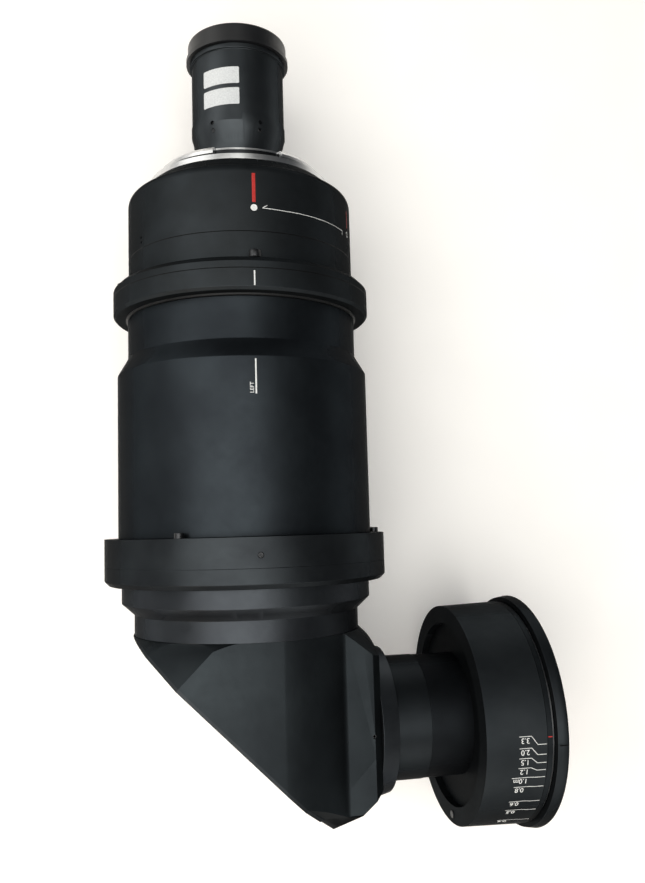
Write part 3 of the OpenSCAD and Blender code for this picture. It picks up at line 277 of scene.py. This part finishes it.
# The bayonet's steel, with painted shade on the wall under its lugs, in the gaps between them
BAYONET = bare_metal("bright_steel_with_painted_wall_shade", "#c4c5c6", "#dcdddd", 0.3, ALONG_Y,
                     shade_on_wall=(LUG_WALL_R, LUG_WALL_TOP))
ALUMINIUM = bare_metal("turned_aluminium", "#a3a5a8", "#b8babd", 0.3, ALONG_X)
BRASS = bare_metal("turned_brass", "#b08d4a", "#c9a560", 0.3, ALONG_Y)
SCREW_BLACK = bare_metal("blackened_screw_steel", "#3c3d3f", "#4a4b4d", 0.4)
MIRROR = bare_metal("front_silvered_mirror", "#e6e8ea", "#eef0f2", 0.07)
CAP_PLASTIC = moulded_plastic("moulded_polyethylene_cap", "#111214", "#17181a", 0.42)
SLIP_PLASTIC = moulded_plastic("acetal_slip_washer", "#1b1c1d", "#232425", 0.5)
RUBBER = moulded_plastic("black_pad_rubber", "#101010", "#171717", 0.75, depth=0.04)
GLASS = coated_glass("coated_lens_glass", "#e8f0f2")
WHITE_INK = print_ink("white_screen_ink", "#d5d7d6", "#e9ebea")
RED_INK = print_ink("red_screen_ink", "#a81c18", "#b62a24")
PAPER = print_ink("blank_white_label_film", "#c9ccce", "#dde0e1")

NODES_OF = (
    (BAYONET, "bayonet_ring"), (SILVER, "locating_pin cam_pins"), (BRASS, "spigot_nut"),
    (ALUMINIUM, "turning_spigot bright_ring"), (MIRROR, "fold_mirror"), (RUBBER, "mirror_pads"),
    (CAP_PLASTIC, "rear_cap"), (SLIP_PLASTIC, "slip_washer"),
    (GLASS, "rear_lens relay_lens_rear relay_lens_front front_lens inner_lens"),
    (BARREL_BLACK, "marked_barrel lower_barrel clamp_ring index_flange"), (TUBE_BLACK, "rear_sleeve rear_tube"),
    (BODY_BLACK, "body_tube"), (FLANGE_BLACK, "flange_upper flange_lower"),
    (ADAPTER_BLACK, "mirror_adapter output_flange"), (HOUSING_BLACK, "mirror_housing"),
    (COVER_BLACK, "mirror_cover"), (OUTPUT_BLACK, "output_neck front_barrel front_rim"),
    (CARRIER_BLACK, "focus_carrier"), (FOCUS_BLACK, "focus_ring"),
    (INNER_BLACK, "rear_lens_ring relay_cell_rear relay_ring_rear relay_cell_front relay_ring_front front_cell "
                  "front_lens_ring"),
    (SCREW_BLACK, "bayonet_screws barrel_set_screws clamp_screws sleeve_set_screws flange_screws flange_set_screw "
                  "housing_set_screw cover_screws output_flange_screws focus_stop_screw"))
FINISH = {node: finish for finish, nodes in NODES_OF for node in nodes.split()}
BODY_OF = {node: body for body, nodes in frame["record"]["behaviour"]["bodies"].items() for node in nodes}
for node, finish in FINISH.items():
    frame["nodes"][node].data.materials.clear()
    frame["nodes"][node].data.materials.append(finish)


# Making pieces

def linked(name, data):
    """A new object at the origin, in the scene."""
    made = bpy.data.objects.new(name, data)
    bpy.context.scene.collection.objects.link(made)
    return made


def mesh_of(name, bm):
    """A mesh from a bmesh, which is freed."""
    mesh = bpy.data.meshes.new(name)
    bm.to_mesh(mesh)
    bm.free()
    return mesh


def piece(name, bm, material, body, smooth):
    """Makes a mesh object at the origin from a bmesh in metres. Edges steeper than smooth degrees stay sharp."""
    for face in bm.faces:
        face.smooth = True
    mesh = mesh_of(name, bm)
    mesh.set_sharp_from_angle(angle=math.radians(smooth))
    mesh.materials.append(material)
    made = linked(name, mesh)
    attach(made, body)
    return made


def stand_in(name, bm, node, smooth):
    """Makes a piece that stands for a CAD node, with its finish and body."""
    made = piece(name, bm, FINISH[node], BODY_OF[node], smooth)
    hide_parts(node)


def raised(bm, offset):
    """Extrudes a flat sheet of faces into a solid."""
    out = bmesh.ops.extrude_face_region(bm, geom=bm.faces[:])["geom"]
    bmesh.ops.translate(bm, vec=offset, verts=[v for v in out if isinstance(v, bmesh.types.BMVert)])


def housing_outline():
    """The housing's upper half across the main axis, as (x, z): flat, round, a fillet and the output block."""
    centre = (math.sqrt((HOUSING_R + FILLET) ** 2 - (BLOCK_Z + FILLET) ** 2), BLOCK_Z + FILLET)
    first, last = math.asin(FLAT_Z / HOUSING_R), math.atan2(centre[1], centre[0])
    turns = [first + (last - first) * i / 24 for i in range(25)]
    backs = [last - math.pi + (math.pi / 2 - last) * i / 6 for i in range(1, 7)]
    return ([(-HOUSING_R, FLAT_Z)] + [(HOUSING_R * math.cos(a), HOUSING_R * math.sin(a)) for a in turns]
            + [(centre[0] + FILLET * math.cos(a), centre[1] + FILLET * math.sin(a)) for a in backs]
            + [(FACE_X - FACE_CHAMFER, BLOCK_Z), (FACE_X, BLOCK_Z - FACE_CHAMFER)])


def cut_prism(bm, outline, low, high, planes):
    """Adds a prism along the main axis to a bmesh, a little proud of its outline and cut by planes. Each plane is
    a point and the direction cut off."""
    part = bmesh.new()
    scale = FOOT_PROUD * MM
    part.faces.new([part.verts.new((x * scale, low * MM, z * scale)) for x, z in outline])
    raised(part, (0, (high - low) * MM, 0))
    for point, off in planes:
        cut = bmesh.ops.bisect_plane(part, geom=part.verts[:] + part.edges[:] + part.faces[:],
                                     plane_co=Vector(point) * MM, plane_no=Vector(off).normalized(),
                                     clear_outer=True)
        rim = [e for e in cut["geom_cut"] if isinstance(e, bmesh.types.BMEdge)]
        if rim:
            bmesh.ops.contextual_create(part, geom=rim)
    bmesh.ops.recalc_face_normals(part, faces=part.faces)
    bm.from_mesh(mesh_of("part", part))


def housing_foot(bm, inner, outer):
    """The mirror housing's pointed foot and its full corners, between two distances outside the mirror's plane."""
    inside, below = 20, FOLD_Y - 70  # inner height of the two corner prisms, and a start under the whole foot
    low_y = FOLD_Y + LOW_SIDE
    half = housing_outline()
    planes = [((-outer / math.sqrt(2), FOLD_Y - outer / math.sqrt(2), 0), (-1, -1, 0)),
              ((FACE_X - CUT_X, low_y, 0), (CUT_Y, -CUT_X, 0))]
    if inner:
        planes.append(((-inner / math.sqrt(2), FOLD_Y - inner / math.sqrt(2), 0), (1, 1, 0)))
    slopes = {z: ((0, low_y, z * BLOCK_Z), (0, -FOOT_SLOPE, z)) for z in (1, -1)}
    cut_prism(bm, half + [(x, -z) for x, z in reversed(half)], below, low_y + FOOT_LAP,
              planes + list(slopes.values()))
    near = (BEVEL_NEAR - FOOT_LAP) / math.sqrt(2)
    for z in (-1, 1):
        outline = [(-HOUSING_R, z * inside)] + [(x, z * height) for x, height in half] + [(FACE_X, z * inside)]
        bevel = ((near, FOLD_Y - near, 0), (-1, 1, -z * math.sqrt(2)))
        cut_prism(bm, outline, below, FOLD_Y, planes + [slopes[z], bevel])


def softened(node, width_mm, foot=None):
    """Stands for a machined node, with its edges of over 24 degrees broken as a deburring cut leaves them. The
    foot's two distances add the housing's foot."""
    bm = bmesh.new()
    bm.from_mesh(frame["nodes"][node].data)
    bmesh.ops.remove_doubles(bm, verts=bm.verts, dist=2e-6)
    bmesh.ops.dissolve_limit(bm, angle_limit=math.radians(0.4), verts=bm.verts, edges=bm.edges)
    sharp = [e for e in bm.edges if len(e.link_faces) == 2 and e.calc_face_angle(0) > math.radians(24)]
    bmesh.ops.bevel(bm, geom=sharp, offset=width_mm * MM, offset_type="OFFSET", affect="EDGES", segments=2,
                    profile=0.5, material=-1, clamp_overlap=True)
    if foot:
        housing_foot(bm, *foot)
    stand_in(node + "_softened", bm, node, smooth=18 if node == "marked_barrel" else 12)


# Machined pieces that show, with their edges broken by a width in millimetres
for node, width in (("marked_barrel", 0.25), ("lower_barrel", 0.25), ("clamp_ring", 0.25), ("index_flange", 0.3),
                    ("body_tube", 0.3), ("flange_upper", 0.3), ("flange_lower", 0.3), ("mirror_adapter", 0.3),
                    ("output_flange", 0.3), ("output_neck", 0.3), ("focus_carrier", 0.25), ("front_barrel", 0.2),
                    ("front_rim", 0.2), ("rear_sleeve", 0.2), ("rear_tube", 0.25), ("bayonet_ring", 0.25),
                    ("focus_ring", 0.3)):
    softened(node, width)
softened("mirror_housing", 0.3, foot=(0, MIRROR_FACE))
softened("mirror_cover", 0.4, foot=(MIRROR_FACE, COVER_FACE))


# Screws, in millimetres

def loop(bm, radius, height, corners=0, knurl=0.0):
    """A ring of edges: round, knurled, or with flats where it has corners."""
    verts = bmesh.ops.create_circle(bm, segments=72, radius=radius)["verts"]
    for i, vert in enumerate(verts):
        if corners:
            side = 2 * math.pi / corners
            turn = math.atan2(vert.co.y, vert.co.x) % side - side / 2
            vert.co *= math.cos(side / 2) / math.cos(turn)
        if knurl and i % 2:
            vert.co *= 1 - knurl
        vert.co.z = height
    return {e for v in verts for e in v.link_edges}


def socket_loops(bm, socket, top, depth):
    """The last loops of a hex socket, from its rim down to its bottom."""
    return [loop(bm, socket, top - socket * 0.1, 6), loop(bm, socket, top - depth, 6),
            loop(bm, socket * 0.3, top - depth - socket * 0.3)]


def skinned(bm, loops):
    """Closes a row of loops into a solid."""
    for low, high in zip(loops, loops[1:]):
        bmesh.ops.bridge_loops(bm, edges=list(low | high))
    for end in (loops[0], loops[-1]):
        bmesh.ops.contextual_create(bm, geom=list(end))
    bmesh.ops.recalc_face_normals(bm, faces=bm.faces)
    return bm


def head(radius, height, socket, depth, bottom, knurl=0.0, round_top=0.12):
    """A screw's head with a hex socket, on the plane z = 0, with its plain foot down to bottom."""
    bm = bmesh.new()
    edge = radius * round_top
    return skinned(bm, [
        loop(bm, radius * 0.55, bottom), loop(bm, radius * 0.55, 0), loop(bm, radius - edge / 3, 0),
        loop(bm, radius, edge / 3), loop(bm, radius, edge, knurl=knurl),
        loop(bm, radius, height - 1.4 * edge, knurl=knurl), loop(bm, radius - edge * 0.35, height - edge * 0.35),
        loop(bm, radius - edge, height), loop(bm, socket * 1.12, height)] + socket_loops(bm, socket, height, depth))


def cup(radius, length, socket, depth):
    """A set screw with a hex socket in its outer end, which lies on the plane z = 0."""
    bm = bmesh.new()
    return skinned(bm, [
        loop(bm, radius * 0.7, -length), loop(bm, radius, -length + radius * 0.3), loop(bm, radius, -radius * 0.25),
        loop(bm, radius * 0.8, 0), loop(bm, socket * 1.1, 0)] + socket_loops(bm, socket, 0, depth))


def turned(degrees, axis):
    """A turn about an axis."""
    return Matrix.Rotation(math.radians(degrees), 4, axis)


def shifted(x, y, z):
    """A move in millimetres."""
    return Matrix.Translation(Vector((x, y, z)) * MM)


SHRINK = Matrix.Scale(MM, 4)


def main_at(angle, radius, y):
    """The place of a screw that stands along +Y on the main axis. The angle is from +Z to +X."""
    return turned(angle, "Y") @ shifted(0, y, radius) @ turned(-90, "X") @ SHRINK


def main_radial(angle, radius, y):
    """The place of a screw that points outward from the main axis."""
    return turned(angle, "Y") @ shifted(0, y, radius) @ SHRINK


def out_at(angle, radius, x):
    """The place of a screw that stands along +X on the output axis. The angle is from +Z to -Y."""
    return shifted(0, FOLD_Y, 0) @ turned(angle, "X") @ shifted(x, 0, radius) @ turned(90, "Y") @ SHRINK


def out_radial(angle, radius, x):
    """The place of a screw that points outward from the output axis."""
    return shifted(0, FOLD_Y, 0) @ turned(angle, "X") @ shifted(x, 0, radius) @ SHRINK


def on_cover(along, side):
    """The place of a screw whose head is sunk in the mirror cover: along the mirror from the fold, and across it."""
    return shifted(0, FOLD_Y, 0) @ turned(-45, "Z") @ shifted(along, -COVER_SEAT, side) @ turned(90, "X") @ SHRINK


def screws(name, bm, node, places):
    """One piece that holds a copy of a screw at each place, for one CAD node."""
    shape = mesh_of("screw", bm)
    joined = bmesh.new()
    for place in places:
        start = len(joined.verts)
        joined.from_mesh(shape)
        joined.verts.ensure_lookup_table()
        bmesh.ops.transform(joined, matrix=place, verts=joined.verts[start:])
    stand_in(name, joined, node, smooth=28)


screws("clamp_cap_screws", head(3.4, 4.5, socket=1.75, depth=2.2, bottom=-12.6, round_top=0.35), "clamp_screws",
       [main_at(90 * i, BARREL_R + 3.5, CLAMP_TOP_Y) for i in range(4)])
screws("flange_cap_screws", head(2.65, 2.9, socket=1.45, depth=1.5, bottom=-20, knurl=0.035), "flange_screws",
       [main_at(-32 + 120 * i, FLANGE_SCREW_R, FLANGE_TOP_Y) for i in range(3)])
screws("bayonet_cap_screws", head(2.5, 2.2, socket=1.3, depth=1.2, bottom=-13), "bayonet_screws",
       [main_at(90 * i, BAYONET_SCREW_R, BAYONET_FACE_Y) for i in range(4)])
screws("cover_button_screws", head(2.4, 1.5, socket=1.15, depth=0.9, bottom=-6, round_top=0.35), "cover_screws",
       [on_cover(-29.5 + 22.8 * i, side * 60) for i in range(3) for side in (-1, 1)]
       + [on_cover(-67, side * 19.5) for side in (-1, 1)])
screws("output_flange_cap_screws", head(2.4, 1.92, socket=1.25, depth=1.1, bottom=-9), "output_flange_screws",
       [out_at(45 + 90 * i, OUTPUT_SCREW_R, OUTPUT_FACE_X) for i in range(4)])
screws("barrel_cup_screws", cup(0.78, 5, socket=0.4, depth=0.6), "barrel_set_screws",
       [main_radial(a, BARREL_R - 0.8, SEAM_Y + 3.4 + 2.8 * i) for a in (-62.2, 62.2, 180) for i in (0, 1)])
screws("sleeve_cup_screws", cup(1.18, 1.15, socket=0.6, depth=0.7), "sleeve_set_screws",
       [main_radial(21.3 + 60 * i, r, y) for i in range(6) for r, y in ((27.95, 32.7), (27.95, 28.3), (24.15, 16.4))])
screws("flange_cup_screw", cup(1.58, 17, socket=0.85, depth=1.1), "flange_set_screw",
       [main_radial(-1, 82.1, -224.4)])
screws("housing_cup_screw", cup(1.23, 7, socket=0.65, depth=0.9), "housing_set_screw",
       [out_radial(0, 44.2, 64.7)])


# Printed marks and labels, drawn flat in millimetres and laid round a barrel

def flat_mesh(data):
    """The mesh of a curve or text, which lies in the plane z = 0."""
    holder = linked("flat", data)
    bpy.context.view_layer.update()
    mesh = bpy.data.meshes.new_from_object(holder.evaluated_get(bpy.context.evaluated_depsgraph_get()))
    bpy.data.objects.remove(holder)
    return mesh


def stroke(points, width, closed=False):
    """A flat printed line through points."""
    curve = bpy.data.curves.new("stroke", "CURVE")
    curve.dimensions = "3D"
    curve.bevel_depth = width / 2
    curve.bevel_resolution = 1
    curve.use_fill_caps = True
    path = [Vector(points[0])]
    for a, b in zip(points, points[1:]):
        parts = max(1, round((Vector(b) - Vector(a)).length / 0.8))
        path += [Vector(a).lerp(Vector(b), (i + 1) / parts) for i in range(parts)]
    spline = curve.splines.new("POLY")
    spline.points.add(len(path) - 1)
    for point, co in zip(spline.points, path):
        point.co = (co.x, co.y, 0, 1)
    spline.use_cyclic_u = closed
    mesh = flat_mesh(curve)
    mesh.transform(Matrix.Diagonal((1, 1, INK / width, 1)))
    return mesh


def words(text, size, place, along, up):
    """Printed text, centred on place, that reads along one direction of the sheet with its tops toward up."""
    font = bpy.data.curves.new("words", "FONT")
    font.body = text
    font.size = size
    font.align_x, font.align_y = "CENTER", "CENTER"
    font.extrude = INK / 2
    font.offset = 0.004 * size
    font.resolution_u = 6
    mesh = flat_mesh(font)
    rows = [(along[i], up[i], 0, place[i]) for i in (0, 1)]
    mesh.transform(Matrix(rows + [(0, 0, 1, 0), (0, 0, 0, 1)]))
    return mesh


def disc(radius, place):
    """A printed dot."""
    bm = bmesh.new()
    bmesh.ops.create_circle(bm, cap_ends=True, segments=40, radius=radius, matrix=Matrix.Translation((*place, 0)))
    raised(bm, (0, 0, DOT_INK))
    return mesh_of("disc", bm)


def wrapped(name, shapes, axis, radius_of, material, body):
    """Lays flat shapes round a barrel. Across the sheet is the length round the barrel from +Z, and along it is
    the axis. radius_of is a radius, or a function that gives it at a place along the axis."""
    bm = bmesh.new()
    for shape in shapes:
        bm.from_mesh(shape)
    bmesh.ops.recalc_face_normals(bm, faces=bm.faces)
    for vert in bm.verts:
        across, along, out = vert.co
        base = radius_of(along) if callable(radius_of) else radius_of
        radius, turn = base + STANDOFF + out, across / base
        if axis == "Y":
            vert.co = Vector((radius * math.sin(turn), along, radius * math.cos(turn))) * MM
        else:
            vert.co = Vector((along, FOLD_Y + radius * math.sin(turn), radius * math.cos(turn))) * MM
    bmesh.ops.recalc_face_normals(bm, faces=bm.faces)
    piece(name, bm, material, body, smooth=40)


def arc(radius, angle):
    """Length along a barrel's surface from its top, for an angle in degrees."""
    return radius * math.radians(angle)


# The marked barrel: a red bar over a white dot, a turn arrow whose tip is at the dot and whose line drops a
# little over its first 10 degrees, and a circle under a thinner red line
top = arc(BARREL_R, 0.3)
wrapped("red_index_bar", [stroke([(top, -17.0), (top, -33.4)], 1.9)], "Y", BARREL_R, RED_INK, "rear_barrel")
wrapped("white_index_dot", [disc(1.85, (top, -36.5))], "Y", BARREL_R, WHITE_INK, "rear_barrel")
tip = 4.25
line = [(arc(BARREL_R, a), -36.5 - 0.4 * min(1, (a - tip) / 10)) for a in [tip + i * 0.75 for i in range(70)]]
barb, tail = (arc(BARREL_R, 6.5), -34.8), (arc(BARREL_R, 55.2), -39.7)
wrapped("turn_arrow", [stroke(line, 0.34), stroke([barb, line[0]], 0.34), stroke([line[-1], tail], 0.34)],
        "Y", BARREL_R, WHITE_INK, "rear_barrel")
circle = [(arc(BARREL_R, 63.2) + 1.5 * math.cos(a), -36.3 + 1.5 * math.sin(a))
          for a in [math.radians(12 * i) for i in range(30)]]
wrapped("open_circle_mark", [stroke(circle, 0.45, closed=True)], "Y", BARREL_R, WHITE_INK, "rear_barrel")
side = arc(BARREL_R, 63.4)
wrapped("second_red_line", [stroke([(side, -21.7), (side, -32.2)], 0.9)], "Y", BARREL_R, RED_INK, "rear_barrel")

# Index lines of the ring and of the body tube, with the body tube's word
side = arc(INDEX_R, -0.85)
wrapped("flange_index_line", [stroke([(side, -74.4), (side, -82.5)], 0.75)], "Y", INDEX_R, WHITE_INK, "rear_barrel")
side = arc(BODY_R, -0.9)
wrapped("body_index_line", [stroke([(side, -121.4), (side, -140.2)], 0.8),
                            words("LEFT", 2.9, (arc(BODY_R, -2.55), -136.9), (0, 1), (-1, 0))],
        "Y", BODY_R, WHITE_INK, "elbow")

# Dark seams under the marked barrel and the clamp ring
for name, node, radius in (("barrel_seam", "marked_barrel", BARREL_R), ("clamp_seam", "clamp_ring", INDEX_R)):
    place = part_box(node)[0][1] / MM
    wrapped(name, [stroke([(arc(radius, -180), place), (arc(radius, 180), place)], 0.45)], "Y", radius, INNER_BLACK,
            "rear_barrel")


def focus_r(x):
    """Radius of the focus ring, which grows towards its front."""
    return FOCUS_BACK_R + (FOCUS_FRONT_R - FOCUS_BACK_R) * (x - FOCUS_BACK_X) / (FOCUS_FRONT_X - FOCUS_BACK_X)


# The metre scale: each number, its mark's angle at the ring's edge, the angle by which its line is kinked up, and
# where its line starts along the output axis. The unit makes one number wider.
SCALE = [("3.3", -5.0, 4.1, 141.1), ("2.0", -9.9, 3.4, 141.1), ("1.5", -14.0, 2.6, 141.1), ("1.2", -17.8, 1.5, 141.0),
         ("1.0m", -21.7, 0.3, 137.6), ("0.8", -27.1, 0.3, 139.5), ("0.6", -36.9, 0.4, 138.8),
         ("0.5", -44.2, 0.6, 138.6), ("0.4", -55.9, 0.8, 137.6)]
KINK_X, EDGE_X, SCALE_END_X = 148.2, 151.75, 156.9
marks = []
for number, angle, lift, start in SCALE:
    low, high = arc(FOCUS_FRONT_R, angle), arc(FOCUS_FRONT_R, angle + lift)
    marks.append(stroke([(high, start), (high, KINK_X), (low, EDGE_X), (low, SCALE_END_X)], 0.34))
    middle = start + (10.4 if number.endswith("m") else 7.0) / 2
    marks.append(words(number, 4.3, (high - 2.2, middle), (0, -1), (-1, 0)))
wrapped("metre_scale", marks, "X", focus_r, WHITE_INK, "focus_grip")

# The red mark that the scale is read against, and the front rim's split
side = arc(INDEX_RING_R, -1.8)
wrapped("red_index_mark", [stroke([(side, 158.0), (side, 160.6)], 0.6)], "X", INDEX_RING_R, RED_INK, "elbow")
rim_r = (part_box("front_rim")[1][2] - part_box("front_rim")[0][2]) / 2 / MM
side = arc(rim_r, -5.4)
wrapped("rim_split", [stroke([(side, 163.2), (side, 168.6)], 0.6)], "X", rim_r, INNER_BLACK, "elbow")


def label(name, low, high):
    """A blank film label with round corners on the rear tube, between two places along the main axis."""
    left, right = arc(TUBE_R, -51.3), arc(TUBE_R, -4.3)
    place = Matrix.Translation(((left + right) / 2, (low + high) / 2, 0))
    bm = bmesh.new()
    bmesh.ops.create_grid(bm, x_segments=28, y_segments=6, size=1,
                          matrix=place @ Matrix.Diagonal(((right - left) / 2, (high - low) / 2, 1, 1)))
    corners = [v for v in bm.verts if len(v.link_faces) == 1]
    bmesh.ops.bevel(bm, geom=corners, offset=0.8, offset_type="OFFSET", affect="VERTICES", segments=4, profile=0.5,
                    material=-1)
    raised(bm, (0, 0, FILM))
    wrapped(name, [mesh_of(name, bm)], "Y", TUBE_R, PAPER, "rear_barrel")


label("blank_label_upper", 55.8, 66.2)
label("blank_label_lower", 42.7, 53.1)


# Floor, lamps, world and camera, in metres

def floor():
    """A plain pale floor under the wide rings. Its weak glow is seen by the camera, in reflections and through
    glass, and lights nothing else."""
    made, tree = new_material("pale_studio_floor")
    shade = patches(tree, 40, 2.0, "#f5f3f0", "#f8f6f3")
    path = add(tree, "ShaderNodeLightPath").outputs
    seen = maths(tree, "ADD", maths(tree, "ADD", path["Is Camera Ray"], path["Is Glossy Ray"]),
                 path["Is Transmission Ray"])
    surface(tree, {"Base Color": shade, "Roughness": 0.9, "Emission Color": shade,
                   "Emission Strength": maths(tree, "MULTIPLY", seen, FLOOR_GLOW)})
    up = Vector(FLOOR_UP).normalized()
    turn = Vector((0, 0, 1)).rotation_difference(up).to_matrix().to_4x4()
    bm = bmesh.new()
    bmesh.ops.create_grid(bm, x_segments=8, y_segments=8, size=4.0)
    bmesh.ops.transform(bm, matrix=Matrix.Translation(up * FLOOR_DEPTH * MM) @ turn, verts=bm.verts)
    mesh = mesh_of("floor", bm)
    mesh.materials.append(made)
    linked("floor", mesh)


def lamp(name, place, target, size, radiance, colour):
    """A soft rectangular lamp. Its power follows from its brightness and its area."""
    light = bpy.data.lights.new(name, "AREA")
    light.shape = "RECTANGLE"
    light.size, light.size_y = size
    light.energy = radiance * math.pi * size[0] * size[1]
    light.color = linear(colour)[:3]
    made = linked(name, light)
    aim = Vector(target) - Vector(place)
    made.matrix_world = Matrix.Translation(place) @ aim.to_track_quat("-Z", "Y").to_matrix().to_4x4()
    made.visible_camera = False


def lamps():
    """A large soft lamp overhead and a little left, weaker ones at the left and in front, and a warm one low down."""
    middle = (0.02, -0.18, 0.0)
    lamp("overhead_lamp", (-0.43, -0.42, 1.35), middle, size=(1.75, 1.9), radiance=2.75, colour="#fffdf8")
    lamp("left_lamp", (-1.3, 0.55, 0.75), (0.0, 0.0, 0.0), size=(0.9, 1.1), radiance=2.0, colour="#fffdf8")
    lamp("warm_lamp", (-0.9, -1.4, 0.4), (0.05, -0.32, 0.0), size=(0.6, 0.6), radiance=2.6, colour="#ffe3c8")
    lamp("front_lamp", (0.1, -1.6, 0.8), middle, size=(1.7, 0.8), radiance=1.6, colour="#fffaf2")


def room():
    """A dim room, pale at the horizon and dark above it."""
    world = bpy.data.worlds.new("studio")
    bpy.context.scene.world = world
    world.use_nodes = True
    tree = world.node_tree
    tree.nodes.clear()
    direction = add(tree, "ShaderNodeTexCoord").outputs["Generated"]
    height = add(tree, "ShaderNodeSeparateXYZ", {0: direction}).outputs["Z"]
    fade = add(tree, "ShaderNodeMapRange", {"Value": height, "From Min": 0.0, "From Max": 0.3}, clamp=True)
    colour = mixed(tree, fade.outputs["Result"], linear("#c9c8c6"), linear("#3c3e41"))
    sky = add(tree, "ShaderNodeBackground", {"Color": colour, "Strength": 1.0})
    add(tree, "ShaderNodeOutputWorld", {"Surface": sky.outputs[0]})


def camera():
    """The photograph's viewpoint: above the elbow's side, looking down and a little along the output."""
    data = bpy.data.cameras.new("camera")
    data.lens = 47.436
    data.sensor_width = 36
    data.sensor_fit = "HORIZONTAL"
    made = linked("camera", data)
    place, degrees = (-0.05561, -0.20961, 0.51563), (5.866, -11.2861, -1.6005)
    turn = Euler([math.radians(angle) for angle in degrees])
    made.matrix_world = Matrix.Translation(place) @ turn.to_matrix().to_4x4()
    bpy.context.scene.camera = made


floor()
lamps()
room()
camera()
bpy.context.scene.view_settings.view_transform = "Standard"
